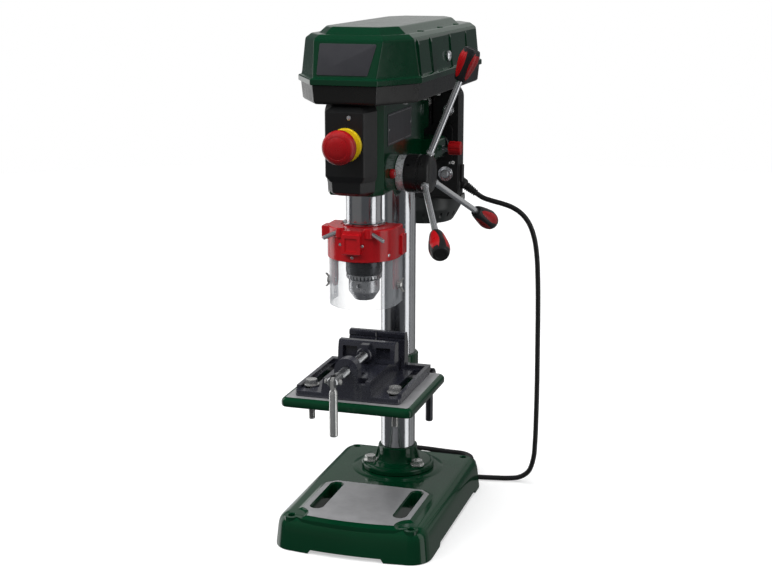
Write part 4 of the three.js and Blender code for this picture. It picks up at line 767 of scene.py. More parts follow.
# bolts that hold the tray on the head
bl = []
for s in (-1, 1):
    for x, y in ((52.4, -151.4), (59.8, -94.2), (61.4, -36.5), (56, 60), (50, 120)):
        bl.append(join(hexhead(3.9, 0, 3.4, (s * x, y, 553.3), (0, 0, -1)), lathe([(0, 552.6), (4.6, 552.6), (4.6, 553.45), (0, 553.45)], (s * x, y, 0), n=28)))
piece(merge(*bl), "tray_bolts", "frame", "zinc", bevel=0.15)

cap = lathe([(6.4, 35.3), (25, 35.3), (25, 46.4), (24.2, 48.6), (22.2, 50.0), (19, 50.5), (12.5, 50.5), (11.5, 49.4), (6.4, 49.4)], (0, PY, PZ), (-1, 0, 0), 80)
cap = cut(cap, *[turned(box(-52, -34, PY - 1.2, PY + 1.2, PZ + 23.9, PZ + 27), about("X", a, (0, PY, PZ))) for a in range(0, 360, 30)])
piece(cap, "return_spring_cap", "frame", "satin", "spring_cap", bevel=0.35)

# --------------------------------------------------- switch box on the head
def sec_box(hf, yf, hb, r=3.0):
    return fillet([(hb, -192.3), (-hb, -192.3), (-hf, yf), (hf, yf)], [0.6, 0.6, r, r], 4)


upper = loft([(463.4, sec_box(17.5, -212.0, 29.6)), (464.0, sec_box(18.6, -213.6, 30.2)), (470.5, sec_box(23.1, -217.4, 31.9)), (472, sec_box(23.3, -217.7, 32)), (545, sec_box(23.3, -217.7, 32)),
              (546.3, sec_box(22.6, -216.9, 31.9)), (551.6, sec_box(16.8, -209.2, 30.6)), (552.6, sec_box(15.2, -207.4, 29.8))])
lower = loft([(447, sec_box(11.5, -203.4, 23.6)), (447.8, sec_box(12.6, -205.2, 24.6)), (451.3, sec_box(16.3, -211.6, 28.8)), (452.6, sec_box(16.7, -212.2, 29.2)), (474, sec_box(17.8, -214.5, 30.5))])
sb = join(upper, lower)
sb = cut(sb, lathe([(0, 204), (11.6, 204), (11.6, 222), (0, 222)], (2, 0, 508.5), (0, -1, 0), 64),
         # recess round the screw
         lathe([(0, 216.6), (3.0, 216.6), (3.4, 218.4), (0, 218.4)], (5.5, 0, 539.5), (0, -1, 0), 28))
sb = join(sb, lathe([(11.6, 216), (21.6, 216), (21.2, 218.0), (20.4, 218.35), (11.6, 218.35)], (2, 0, 508.5), (0, -1, 0), 72))
sb = cut(sb, lathe([(0, 210), (11.65, 210), (11.65, 222), (0, 222)], (2, 0, 508.5), (0, -1, 0), 64))
piece(sb, "switch_housing", "frame", "plastic", "switch_box", bevel=0.5, angle=24)
sc = lathe([(0, 216.5), (2.7, 216.5), (2.6, 217.6), (1.6, 218.3), (0, 218.4)], (5.5, 0, 539.5), (0, -1, 0), 28)
sc = cut(sc, box(2.6, 8.4, -219, -217.7, 539.1, 539.9), box(5.1, 5.9, -219, -217.7, 536.6, 542.4))
piece(sc, "switch_cover_screw", "frame", "chrome", bevel=0.1)
col = lathe([(11.75, 218.45), (19.6, 218.45), (19.6, 220.2), (19.0, 221.6), (18.0, 222.0), (11.75, 222.0)], (2, 0, 508.5), (0, -1, 0), 80)
piece(col, "stop_collar_ring", "frame", "yellow", "stop_collar", bevel=0.2)
btn = lathe([(0, 214.5), (11.3, 214.5), (11.3, 232.2), (12.4, 235.2), (15.6, 236.6), (18.8, 237.3), (19.8, 238.9), (19.9, 242.6), (19.4, 245.6), (18.0, 247.8), (15.4, 249.4), (13.4, 250.0),
             (13.0, 249.8), (12.6, 250.1), (6.0, 251.3), (0, 251.6)], (2, 0, 508.5), (0, -1, 0), 96)
piece(btn, "stop_button_cap", "stop_button", "red", "stop_button")

# ------------------------------------------------- quill, spindle, drive feed
q = lathe([(9.6, 392.2), (21.2, 392.2), (22, 393), (22, 404.3), (25.2, 404.3), (26, 404.9), (26, 406.6), (25.2, 407.3), (22, 407.3), (22, 527), (21.4, 528), (9.6, 528)], (0, SPY, 0), n=128)
rp = 1.25 * 14 / 2
yp = PY - rp
teeth = [box(-30, 30, yp + 1.0, yp + 21, 450, 540)]
pitch, t20 = math.pi * 1.25, math.tan(math.radians(20))
for i in range(-3, 15):
    z = PZ + i * pitch
    w = pitch / 4 + 0.07
    hi, lo = w + (2.0) * t20, w - (1.15 * 1.25) * t20
    teeth.append(prism([(yp - 1.4375, z - lo), (yp + 2.0, z - hi), (yp + 2.0, z + hi), (yp - 1.4375, z + lo)], -30, 30, "X"))
q = cut(q, *teeth)
piece(q, "quill_sleeve", "quill", "steel", "quill", sharp=30)
sp = lathe([(0, 362), (7.4, 362), (8.3, 391.5), (9.2, 392.5), (9.2, 527.4), (8.6, 528), (6.5, 529.5), (6.5, 616.6), (5.4, 618), (0, 618)], (0, SPY, 0), n=56)
sp = cut(sp, *[turned(box(5.6, 8, SPY - 1.3, SPY + 1.3, 532, 620), about("Z", a, (0, SPY, 0))) for a in (0, 90, 180, 270)])
piece(sp, "spindle_shaft", "spindle", "steel", "spindle", sharp=30)

prof = []
for t in range(14):
    for da, rr in ((-0.155, rp - 1.45), (-0.105, rp - 1.2), (-0.06, rp + 0.3), (-0.035, rp + 1.0), (0.035, rp + 1.0), (0.06, rp + 0.3), (0.105, rp - 1.2), (0.155, rp - 1.45)):
        a = t * 2 * math.pi / 14 + da
        prof.append((PY - rr * math.cos(a), PZ + rr * math.sin(a)))
gear = prism(prof, -11, 11, "X")
fs = lathe([(0, -44), (5.2, -44), (6, -43), (6, -34), (10.3, -34), (10.3, -22), (6.2, -22), (6.2, 22), (10.3, 22), (10.3, 34.5), (6, 34.5), (6, 73), (5.2, 74), (0, 74)], (0, PY, PZ), (1, 0, 0), 48)
piece(join(gear, fs), "feed_pinion_shaft", "feed", "steel", "feed_pinion", bevel=0.15)

# hub: two turned drums with a groove, a stepped hole where each lever is screwed in
CONE, LX = math.radians(21.7), 64.1


def lever_dir(i):
    t = math.radians(2.2) - i * 2 * math.pi / 3
    return Vector((math.sin(CONE), math.cos(CONE) * math.sin(t), math.cos(CONE) * math.cos(t)))


def lever_at(i, s):
    return Vector((LX, PY, PZ)) + lever_dir(i) * s


hub = lathe([(6.3, 46.4), (22.2, 46.4), (23.4, 47.5), (23.4, 61.8), (22.5, 62.4), (22.5, 64.4), (23.4, 65.0), (23.4, 73.6), (22.6, 75.6), (20.9, 77.2), (18.8, 77.9), (17.9, 77.5),
             (17.2, 77.5), (16.4, 78.0), (0, 78.2), (0, 74.4), (6.3, 74.4)], (0, PY, PZ), (1, 0, 0), 96)
hub = cut(hub, *[lathe([(0, 11), (4.05, 11), (4.05, 23.0), (5.6, 25.6), (5.6, 42), (0, 42)], (LX, PY, PZ), lever_dir(i), 40) for i in range(3)],
          *[lathe([(0, 21.5), (1.7, 21.5), (1.7, 26), (0, 26)], (52.5, PY, PZ), (0, math.sin(math.radians(a)), math.cos(math.radians(a))), 20) for a in (62, 182, 302)])
piece(hub, "feed_hub_drum", "feed", "satin", "feed_hub", bevel=0.3)
for i in range(3):
    d = lever_dir(i)
    lv = lathe([(0, 11.5), (3.4, 11.5), (3.75, 12.2), (3.75, 142.9), (3.3, 144), (0, 144)], (LX, PY, PZ), d, 40)
    lv = join(lv, lathe([(0, 25.9), (5.2, 25.9), (5.4, 26.3), (5.4, 28.6), (5.0, 29.2), (0, 29.2)], (LX, PY, PZ), d, 6))
    piece(lv, f"feed_lever_rod_{i + 1}", "feed", "chrome", f"feed_lever_{i + 1}", bevel=0.2)


# knobs: a black core with four red panels let into it
KP = [(6.9, 121.2), (7.9, 123.4), (9.0, 128), (10.2, 134.5), (11.3, 141), (12.0, 146.5), (12.1, 148.5), (11.8, 152.5), (10.8, 157), (9.8, 159.4)]


def core_r(h):
    for (r0, h0), (r1, h1) in zip(KP, KP[1:]):
        if h0 <= h <= h1:
            return r0 + (r1 - r0) * (h - h0) / (h1 - h0)
    return KP[0][0] if h < KP[0][1] else KP[-1][0]


def along(i):
    return Matrix.Translation((LX, PY, PZ)) @ Vector((0, 0, 1)).rotation_difference(lever_dir(i)).to_matrix().to_4x4()


LENS = [(0, 123.6), (2.4, 126.4), (3.9, 131), (5.2, 137), (6.0, 143), (6.1, 147.5), (5.3, 152.5), (3.6, 157), (2.6, 158.2)]
for i in range(3):
    m = along(i)
    core = lathe([(0, 144.4), (3.95, 144.4), (3.95, 120.7), (5.9, 120.7)] + KP + [(9.1, 160.4), (8.6, 160.6), (6.2, 160.6), (5.8, 160.1), (0, 160.1)], n=72)
    skin = lathe([(0, 123)] + [(core_r(h) + 0.22, h) for h in (123, 126, 130, 134.5, 138, 141, 144, 146.5, 148.5, 152.5, 155.5, 158.5)] + [(0, 158.5)], n=96)
    outline = LENS + [(-u, h) for u, h in LENS[:0:-1]]
    lens = [turned(prism(outline, 4, 14, "X"), Matrix.Rotation(math.radians(45 + 90 * k + 12), 4, "Z")) for k in range(4)]
    skin = both(skin, merge(*lens))
    grip = merge(core, skin)
    turned(grip, m)
    inv = m.inverted()

    def panel(c, n, inv=inv):
        q = inv @ c
        r = math.hypot(q.x, q.y)
        return 1 if 123.2 < q.z < 158.7 and r > core_r(q.z) + 0.09 else 0
    piece(grip, f"feed_grip_{i + 1}", "feed", ["plastic", "red"], f"feed_knob_{i + 1}", sharp=30, paint=panel)

# depth ring: engraved ticks and plain numbers, inked
ringd = lathe([(6.3, 35.8), (21.0, 35.8), (21.8, 36.4), (21.8, 45.4), (21.2, 46.0), (20.2, 46.0), (19.8, 45.6), (6.3, 45.6)], (0, PY, PZ), (1, 0, 0), 128)
piece(ringd, "depth_scale_ring", "depth_ring", "scale", "depth_ring", bevel=0.2)
GLYPH = {"0": [((0, 0), (1, 0), (1, 2), (0, 2), (0, 0))], "1": [((0.2, 1.6), (0.6, 2), (0.6, 0))], "2": [((0, 2), (1, 2), (1, 1), (0, 1), (0, 0), (1, 0))],
         "3": [((0, 2), (1, 2), (1, 0), (0, 0)), ((0.2, 1), (1, 1))], "4": [((0, 2), (0, 1), (1, 1)), ((1, 2), (1, 0))], "5": [((1, 2), (0, 2), (0, 1), (1, 1), (1, 0), (0, 0))]}


def strokes(segments, surface, w, lo=-0.05, hi=0.05):
    """Thin raised strokes laid on a surface: surface(u, v, h) gives the place in space."""
    verts, faces = [], []
    for (u0, v0), (u1, v1) in segments:
        du, dv = u1 - u0, v1 - v0
        l = math.hypot(du, dv) or 1e-9
        nu, nv = -dv / l * w / 2, du / l * w / 2
        eu, ev = du / l * w / 2, dv / l * w / 2
        c = [(u0 - eu + nu, v0 - ev + nv), (u0 - eu - nu, v0 - ev - nv), (u1 + eu - nu, v1 + ev - nv), (u1 + eu + nu, v1 + ev + nv)]
        k = len(verts)
        verts += [surface(a, b, lo) for a, b in c] + [surface(a, b, hi) for a, b in c]
        faces += [(k, k + 1, k + 2, k + 3), (k + 4, k + 7, k + 6, k + 5)] + [(k + a, k + 4 + a, k + 4 + (a + 1) % 4, k + (a + 1) % 4) for a in range(4)]
    return make(verts, faces)


def on_ring(u, v, h):
    a = v / 21.8
    return (u, PY + (21.8 + h) * math.cos(a), PZ + (21.8 + h) * math.sin(a))


per = 2 * math.pi * 21.8 / 60
seg = [((36.9, k * per), (40.0 if k % 5 == 0 else 38.5, k * per)) for k in range(60)]
seg2 = []
for k in range(6):
    txt = str(k * 10)
    for j, ch in enumerate(txt):
        for line in GLYPH[ch]:
            line = [(41.3 + 2.6 * (2 - y) / 2, 10 * k * per + (j - (len(txt) - 1) / 2) * 2.0 + (x - 0.5) * 1.25) for x, y in line]
            seg2 += list(zip(line, line[1:]))
piece(strokes(seg, on_ring, 0.26), "depth_scale_ticks", "depth_ring", "ink", sharp=60)
piece(strokes(seg2, on_ring, 0.3), "depth_scale_numbers", "depth_ring", "ink", sharp=60)
ptr = join(lathe([(0, 35.3), (5.6, 35.3), (5.8, 35.6), (5.8, 38.8), (5.0, 40.1), (3.6, 40.5), (0, 40.5)], (0, -150, 467), (1, 0, 0), 56),
           prism(fillet([(-152, 462.2), (-144.5, 463.4), (-139, 466.4), (-139, 467.6), (-144.5, 470.6), (-152, 471.8)], [0, 2, 0.4, 0.4, 2, 0], 4), 35.3, 38.3, "X", 0.5, 2, bev0=0))
ptr = cut(ptr, lathe([(0, 38.6), (3.1, 38.6), (3.1, 41), (0, 41)], (0, -150, 467), (1, 0, 0), 32))
piece(ptr, "depth_pointer_tab", "frame", "red", "depth_pointer", bevel=0.2)
ps = cut(lathe([(0, 38.4), (2.9, 38.4), (2.9, 39.5), (2.2, 40.2), (0, 40.5)], (0, -150, 467), (1, 0, 0), 28), box(39.7, 41, -153, -147, 466.6, 467.4), box(39.7, 41, -150.4, -149.6, 464, 470))
piece(ps, "depth_pointer_screw", "frame", "chrome", bevel=0.1)

# -------------------------------------------------------------------- chuck
slope, travel = 0.19, 14.0
LN = math.hypot(1, slope)


def jaw_pt(z, az):
    r = 4.2 + (z - 311.0) * slope
    return Vector((r * math.cos(az), SPY + r * math.sin(az), z))


def bar(a, b, r0, n=32, r1=None):
    a, b = Vector(a), Vector(b)
    return lathe([(0, 0), (r0, 0), (r1 if r1 is not None else r0, (b - a).length), (0, (b - a).length)], a, b - a, n)


AZ = [math.radians(a) for a in (90, 210, 330)]
cb = lathe([(0, 311), (11.2, 311), (11.9, 311.4), (12.7, 312.4), (18.0, 320.3), (18.7, 321.6), (19, 323), (19, 336.2), (16.1, 336.4), (16.1, 373.6), (15.4, 375.0), (13.8, 376), (0, 376)], (0, SPY, 0), n=112)
cb = cut(cb, lathe([(0, 361.5), (7.75, 361.5), (8.7, 377), (0, 377)], (0, SPY, 0), n=48), lathe([(0, 300), (6.6, 300), (5.4, 312.6), (5, 314), (5, 350), (0, 350)], (0, SPY, 0), n=48),
         *[bar(jaw_pt(300, a), jaw_pt(352, a), 3.55, 32) for a in AZ],
         *[lathe([(0, 13.6), (3.1, 13.6), (3.1, 17.9), (3.7, 18.6), (3.7, 22), (0, 22)], (0, SPY, 329.6), (math.cos(a), math.sin(a), 0), 32) for a in (math.radians(30), math.radians(150), math.radians(270))],
         lathe([(18.6, 333.6), (22, 333.0), (22, 335.0), (18.6, 334.4)], (0, SPY, 0), n=112))
piece(cb, "chuck_body_turned", "spindle", "alloy", "chuck_body", bevel=0.2, paint=None)
for i, az in enumerate(AZ):
    sh = Vector((-travel * slope / LN * math.cos(az), -travel * slope / LN * math.sin(az), -travel / LN))
    c = turned(bar(jaw_pt(313, az), jaw_pt(348, az), 3.25, 36), Matrix.Translation(sh))
    w = prism([(u * math.cos(az) - v * math.sin(az), SPY + u * math.sin(az) + v * math.cos(az)) for u, v in ((0.22, 0), (16, 27.2), (16, -27.2))], 280, 345)
    c = turned(both(c, w), Matrix.Translation(-sh))
    piece(c, f"chuck_jaw_ground_{i + 1}", f"chuck_jaw_{i + 1}", "dark_steel", f"chuck_jaw_{i + 1}", bevel=0.15)
sl = lathe([(16.35, 337), (16.35, 363), (21.2, 363), (21.9, 362.6), (22.3, 361.8), (22.3, 345.2), (21.9, 344.4), (20.9, 343.6), (20.9, 343.1), (21.8, 342.6), (21.8, 338.8), (20.4, 336.9), (17.4, 336.9)], (0, SPY, 0), n=144)
notch = []
for k in range(30):
    a = math.radians(12 * k)
    t = prism([(-1.35, 336.0), (1.35, 336.0), (0.55, 342.2), (-0.55, 342.2)], 18.2, 23.4, "X")
    t.data.transform(Matrix.Translation((0, SPY, 0)) @ Matrix.Rotation(a, 4, "Z"))
    notch.append(t)
sl = cut(sl, merge(*notch), lathe([(21.6, 353.4), (23, 353.0), (23, 354.8), (21.6, 354.4)], (0, SPY, 0), n=144))
piece(sl, "chuck_sleeve_toothed", "chuck_sleeve", ["dark_steel", "alloy"], "chuck_sleeve", sharp=30,
      paint=lambda c, n: 1 if c.z < 343.2 and math.hypot(c.x, c.y - SPY) > 19 else 0)

# -------------------------------------------------------------------- guard
GR = 44.4


def horseshoe(r, yr, n=48, back=0.0):
    p = [(-r + back, yr)] + [(r * math.cos(math.pi + math.pi * i / n), SPY + r * math.sin(math.pi + math.pi * i / n)) for i in range(n + 1)] + [(r - back, yr)]
    return p


def shoe_levels(levels):
    return loft([(z, horseshoe(r, y)) for z, r, y in levels])


g = shoe_levels([(364.5, GR - 1.0, -123), (364.9, GR - 0.3, -122.4), (365.8, GR, -122), (401.6, GR, -122), (402.8, GR - 0.5, -122.3), (403.4, GR - 1.4, -122.9), (403.6, GR - 2.4, -123.6)])
g = cut(g, shoe_levels([(350, GR - 1.7, -100), (395.5, GR - 1.7, -100), (397.5, GR - 3.6, -100)]), box(-60, 60, -130, -100, 396, 410))
ear_l = prism(fillet([(-47.2, -148), (-47.2, -168), (-37.05, -168), (-39.7, -163), (-41.6, -158), (-43, -152), (-43.4, -148)], [1.5, 2.5, 0, 0, 0, 0, 0], 3), 387, 403, "Z", 0.8, 2)
ear_r = join(box(GR - 1.6, 47.4, -140, -122, 367, 391, 0.8, 1.2), lathe([(0, 46.6), (3.2, 46.6), (3.2, 47.6), (0, 47.6)], (0, -131, 379), (1, 0, 0), 28))
g = join(g, ear_l, ear_r)
g = join(g, lathe([(0, 393), (31, 393), (31, 402.6), (30.2, 403.6), (29.2, 404), (0, 404)], (0, SPY, 0), n=112))
ri, ro = GR - 4.9, GR - 4.3
for s in (-1, 1):
    a, b = (ri - 2.2, ro) if s > 0 else (-ro, -ri + 2.2)
    g = join(g, prism(fillet([(-149, 398.5), (-149, 324), (-133, 324), (-133, 398.5)], [0, 7, 7, 0], 8), a, b, "X"))
fb = loft([(375.2, rect(-10.6, 10.6, -196.0, -188.2, 0)), (376.0, rect(-11.5, 11.5, -197, -188.2, 0)), (398.8, rect(-11.5, 11.5, -197, -188.2, 0)), (400, rect(-10.4, 10.4, -195.6, -188.2, 0))])
fb = cut(fb, box(-7.6, 7.6, -200, -195.4, 379, 395, 0, 0, 2, "Y"), box(-20, 20, -198, -196.2, 386.6, 387.4))
g = join(g, fb, box(-11.5, 11.5, -192, -160, 395.7, 403.4), *[lathe([(0, 394), (5.5, 394), (5.5, 404.6), (4.6, 405.5), (0, 405.5)], (s * 17.5, -183, 0), n=40) for s in (-1, 1)])
# screw bosses low on the front and steps on the deck
g = join(g, *[lathe([(0, GR - 1.5), (4.0, GR - 1.5), (3.8, GR + 0.6), (0, GR + 0.6)], (0, SPY, z), (math.sin(math.radians(a)), -math.cos(math.radians(a)), 0), 28) for a, z in ((-22, 385), (14.5, 385))])
g = cut(g, cyl(22.35, 380, 410, (0, SPY), n=112), lathe([(25.4, 403.0), (28.0, 403.0), (28.0, 406), (25.4, 406)], (0, SPY, 0), n=112),
        *[prism(circle(2.8, 28, -144, 331), *((34, 46) if s > 0 else (-46, -34)), "X") for s in (-1, 1)],
        *[bar((s * 14, -180, 402.4), (s * 40, -188, 391), 2.9, 28) for s in (-1, 1)],
        *[lathe([(0, GR - 0.4), (2.3, GR - 0.4), (2.3, 52), (0, 52)], (0, SPY, z), (math.sin(math.radians(a)), -math.cos(math.radians(a)), 0), 28) for a, z in ((-22, 385), (14.5, 385))])
piece(g, "guard_bracket_moulding", "guard", "guard_red", "guard_bracket", bevel=0.7, segments=3, angle=36)
scr = []
for a, z in ((-22, 385), (14.5, 385), (-1, 370.5), (60, 371.5)):
    d = (math.sin(math.radians(a)), -math.cos(math.radians(a)), 0)
    r0 = GR - 0.6 if z > 380 else GR - 1.0
    h = lathe([(0, r0), (2.15, r0), (2.15, r0 + 0.7), (1.5, r0 + 1.3), (0, r0 + 1.5)], (0, SPY, z), d, 28)
    scr.append(cut(h, lathe([(0, r0 + 0.9), (0.75, r0 + 0.9), (0.75, r0 + 3), (0, r0 + 3)], (0, SPY, z), d, 6)))
piece(merge(*scr), "guard_screws", "guard", "chrome", bevel=0.1)
for n, s in (("left", -1), ("right", 1)):
    a, b = Vector((s * 14.6, -180.2, 402.1)), Vector((s * 38, -187.4, 391.9))
    L = (b - a).length
    p = lathe([(0, 0), (1.9, 0), (2.6, 0.7), (2.6, L - 1.0), (2.2, L - 0.3), (1.6, L), (0, L)], a, b - a, 36)
    p = cut(p, lathe([(0, L - 2), (1.15, L - 2), (1.15, L + 1), (0, L + 1)], a, b - a, 6))
    piece(p, f"guard_pin_turned_{n}", "guard", "chrome", f"guard_pin_{n}", bevel=0.1)
vo, vi = GR - 2.0, GR - 3.7
v = shoe_levels([(306, vo - 0.5, -124.4), (306.4, vo - 0.1, -124.1), (307, vo, -124), (380.4, vo, -124), (381, vo - 0.4, -124.3)])
v = cut(v, shoe_levels([(300, vi + 0.2, -100), (306.6, vi, -100), (390, vi, -100)]))
v = cut(v, *[prism([(y, z) for y, z in slot_y(-144, 312, 335.5, 3.1)], *((36, 48) if s > 0 else (-48, -36)), "X") for s in (-1, 1)])
piece(v, "guard_visor_clear", "visor", "clear", "guard_visor", sharp=30)
for n, s in (("left", -1), ("right", 1)):
    d = (s, 0, 0)
    w = lathe([(r, h) for r, h in threaded(2.5, 36.4, 48.0, 0.9, 0.3, 0.4)], (0, -144, 331), d, 28)
    w = join(w, lathe([(0, vo + 0.3), (5.2, vo + 0.3), (5.2, vo + 1.3), (4.0, vo + 1.5), (4.0, vo + 4.6), (3.0, vo + 5.6), (0, vo + 5.6)], (0, -144, 331), d, 36))
    for t in (-1, 1):
        o = fillet([(vo + 1.7, 331), (vo + 8.2, 331 + t * 8.2), (vo + 8.2, 331 + t * 8.5), (vo + 5.6, 331 + t * 8.5), (vo + 1.7, 331 + t * 3.4)], [0, 1.5, 1.5, 2.4, 1], 5)
        w = join(w, prism([(s * x, z) for x, z in o], -145.0, -143.0, "Y"))
    piece(w, f"guard_wing_cast_{n}", f"wing_{n}", "zinc", f"guard_wing_screw_{n}", bevel=0.35, segments=2)


# ------------------------------------------------------- belt housing (tray)
PLAN = [(44, 178), (-44, 178), (-71.3, 135.5), (-71.3, -159.2), (-37.1, -215.7), (37.1, -215.7), (71.3, -159.2), (71.3, 135.5)]
TOP = [(42, 174), (-42, 174), (-68.5, 132), (-66.5, -161), (-41.4, -201.5), (41.4, -201.5), (66.5, -161), (68.5, 132)]
HX, HZ = -80.0, 577.5


def shape(base, d, r=2.4, n=4):
    return fillet(inset(base, d), r, n)


ty = loft([(553.5, shape(PLAN, 3.2)), (553.8, shape(PLAN, 2.2)), (554.6, shape(PLAN, 1.0)), (556.2, shape(PLAN, -0.1)), (558, shape(PLAN, -0.25)), (575.1, shape(PLAN, -1.95)), (575.5, shape(PLAN, -1.6))])
ty = cut(ty, loft([(556.5, shape(PLAN, 3.2)), (558, shape(PLAN, 2.0)), (576.5, shape(PLAN, 0.8))]))
ribs = [box(x - 0.9, x + 0.9, -190, 160, 556, 559.5) for x in (-40, 40)] + [box(-62, 62, y - 0.9, y + 0.9, 556, 559.5) for y in (-60, 10)]
post = [box(57, 64.6, -33, -19, 554.5, 606, 0.8, 1.5), box(50, 58, -27, -25, 554.5, 585)]
ty = join(ty, *post)
ty = cut(ty, cyl(11, 550, 560, (0, SPY), n=56), prism(slot_y(0, MOY - 24, MOY + 14, 14, 20), 550, 560), prism(circle(2.0, 20, -26, 598), 56, 66, "X"))
for y in (-110, 60):
    k = prism(circle(4.6, 40, HX, HZ), y, y + 14, "Y", 0.5, 2)
    arm = prism(fillet([(-71.9, 565), (-71.9, 575.4), (-76, 575.4), (-80, 573.1), (-84, 574), (-76.5, 567)], [0, 0, 1, 0, 0, 3], 4), y, y + 14, "Y")
    ty = join(ty, k, arm)
ty = cut(ty, prism(circle(2.3, 24, HX, HZ), -120, 100, "Y"))
piece(ty, "belt_tray", "frame", "tray", "belt_housing", bevel=0.35, angle=40)
# stiffening ribs in the tray's floor, with a round lip at the spindle opening
lips = [lathe([(11.2, 556.4), (13.4, 556.4), (13.4, 558.4), (12.8, 559.0), (11.2, 559.0)], (0, SPY, 0), n=72)]
piece(merge(*ribs, *lips), "tray_ribs", "frame", "tray", bevel=0.2)

# -------------------------------------------------------------- belt cover
UP = [(28, 125), (-28, 125), (-44, 96), (-44, -148), (-28, -176), (28, -176), (44, -148), (44, 96)]


def mix(a, b, f):
    return [(p[0] + (q[0] - p[0]) * f, p[1] + (q[1] - p[1]) * f) for p, q in zip(a, b)]


def wall(z, d=0.0, r=2.2):
    f = (z - 583.8) / (627.0 - 583.8)
    return fillet(inset(mix(inset(PLAN, -1), TOP, f), d), r, 4)


lv = [(575.8, shape(PLAN, -4.4)), (576.1, shape(PLAN, -4.85)), (576.6, shape(PLAN, -5)), (581.4, shape(PLAN, -5)), (582.3, shape(PLAN, -4.7)), (582.9, shape(PLAN, -3.9)), (583.2, shape(PLAN, -2.9)),
      (583.5, shape(PLAN, -1.9)), (584.1, shape(PLAN, -1.25)), (585.2, wall(585.2, -0.15)), (587, wall(587)), (622.6, wall(622.6)), (624.6, wall(624.6, 0.12)), (626.1, wall(626.1, 0.6)), (627.3, wall(627, 1.7)),
      (628.2, wall(627, 3.0)), (631.0, wall(627, 6.6)), (631.5, wall(627, 8.2))]
cv = loft(lv)
# side ribs: broad pairs that fade towards the top edge
for s in (-1, 1):
    for y, w in ((-95, 3), (-5.7, 2), (75, 2), (-150, 2.5)):
        rb = loft([(583.0, rect(*sorted((s * 66, s * 73.4)), y - w, y + w)), (584.2, rect(*sorted((s * 66, s * 73.45)), y - w, y + w)), (618.5, rect(*sorted((s * 62, s * 69.7)), y - w * 0.9, y + w * 0.9)),
                   (622.8, rect(*sorted((s * 61, s * 68.6)), y - w * 0.8, y + w * 0.8)), (625.6, rect(*sorted((s * 60, s * 66.4)), y - w * 0.7, y + w * 0.7))])
        cv = join(cv, rb)
# low ribs across the deck that run in to the plateau
for y, w in ((-95, 2.6), (-5.7, 1.8), (75, 1.8)):
    cv = join(cv, prism([(-60.5, 630.5), (60.5, 630.5), (58.8, 632.4), (-58.8, 632.4)], y - w, y + w, "Y", 0.5, 2, bev0=0.5))
pl = loft([(629.5, fillet(inset(UP, -9), 2, 4)), (631.6, fillet(inset(UP, -9), 2, 4)), (632.2, fillet(inset(UP, -8.2), 2, 4)), (633.2, fillet(inset(UP, -7.0), 2, 4)), (638.2, fillet(inset(UP, -1.6), 2, 4)),
           (639.1, fillet(inset(UP, -0.3), 2, 4)), (639.5, fillet(inset(UP, 0.9), 2, 4)), (639.6, fillet(inset(UP, 2.4), 2, 4))])
cv = join(cv, pl)
cv = cut(cv, loft([(570, shape(PLAN, -2.4)), (581.8, shape(PLAN, -2.4)), (583.8, shape(PLAN, 1.5)), (626, fillet(inset(TOP, 3), 2, 4)), (628.9, fillet(inset(TOP, 8.4), 2, 4))]))
cv = cut(cv, loft([(626, fillet(inset(UP, 1), 2, 4)), (637, fillet(inset(UP, 2), 2, 4))]))
cv = cut(cv, prism(circle(3.6, 32, -26, 598), 60, 80, "X"))
cv = cut(cv, lathe([(0, 70.6), (7.2, 70.6), (7.2, 74), (0, 74)], (0, -26, 598), (1, 0, 0), 48))
for y in (-110, 60):
    cv = cut(cv, prism(circle(6.4, 48, HX, HZ), y - 0.5, y + 14.5, "Y"))
for y in (-95.7, 74.3):
    cv = join(cv, prism(circle(4.6, 40, HX, HZ), y, y + 14, "Y", 0.5, 2), prism([(-75.0, 576), (-75.0, 582.8), (-80, 582.05), (-80, 576.6)], y, y + 14, "Y"))
cv = cut(cv, prism(circle(2.3, 24, HX, HZ), -120, 100, "Y"))
piece(cv, "cover_shell", "cover", "cover", "belt_cover", bevel=0.4, segments=2, angle=42, sharp=30)

# blank plate on the leaning front
lean = 15.2 / 43.2


def front_y(z):
    return -216.7 + lean * (z - 583.8)


pq = fillet([(-33.5, 622), (-33.5, 587), (27.2, 587), (34.9, 622)], 1.6, 4)
fp = loft([(-0.3, pq), (0.45, pq), (0.62, inset(pq, 0.12)), (0.7, inset(pq, 0.35))], "-Y")
for vtx in fp.data.vertices:
    vtx.co.y += front_y(vtx.co.z)
piece(fp, "cover_front_plate", "cover", "plate", sharp=40)
piece(prism(circle(1.95, 28, HX, HZ), -111, 89, "Y", 0.4, 2), "hinge_pin_rod", "frame", "zinc", "cover_hinge_pin")
cs = lathe([(0, 66.9), (2.4, 66.9), (3.2, 67.7), (3.2, 71.6), (6.0, 71.6), (6.4, 72.0), (6.4, 73.6), (5.6, 74.6), (4.3, 75.4), (2.4, 75.8), (0, 75.9)], (0, -26, 598), (1, 0, 0), 44)
cs = cut(cs, box(74.7, 77, -32, -20, 597.4, 598.6))
piece(cs, "cover_lock_screw", "cover_screw", "chrome", "cover_screw", bevel=0.15)

# ------------------------------------------------------------ belt drive
STEP_R = [44, 38, 32, 26, 20]


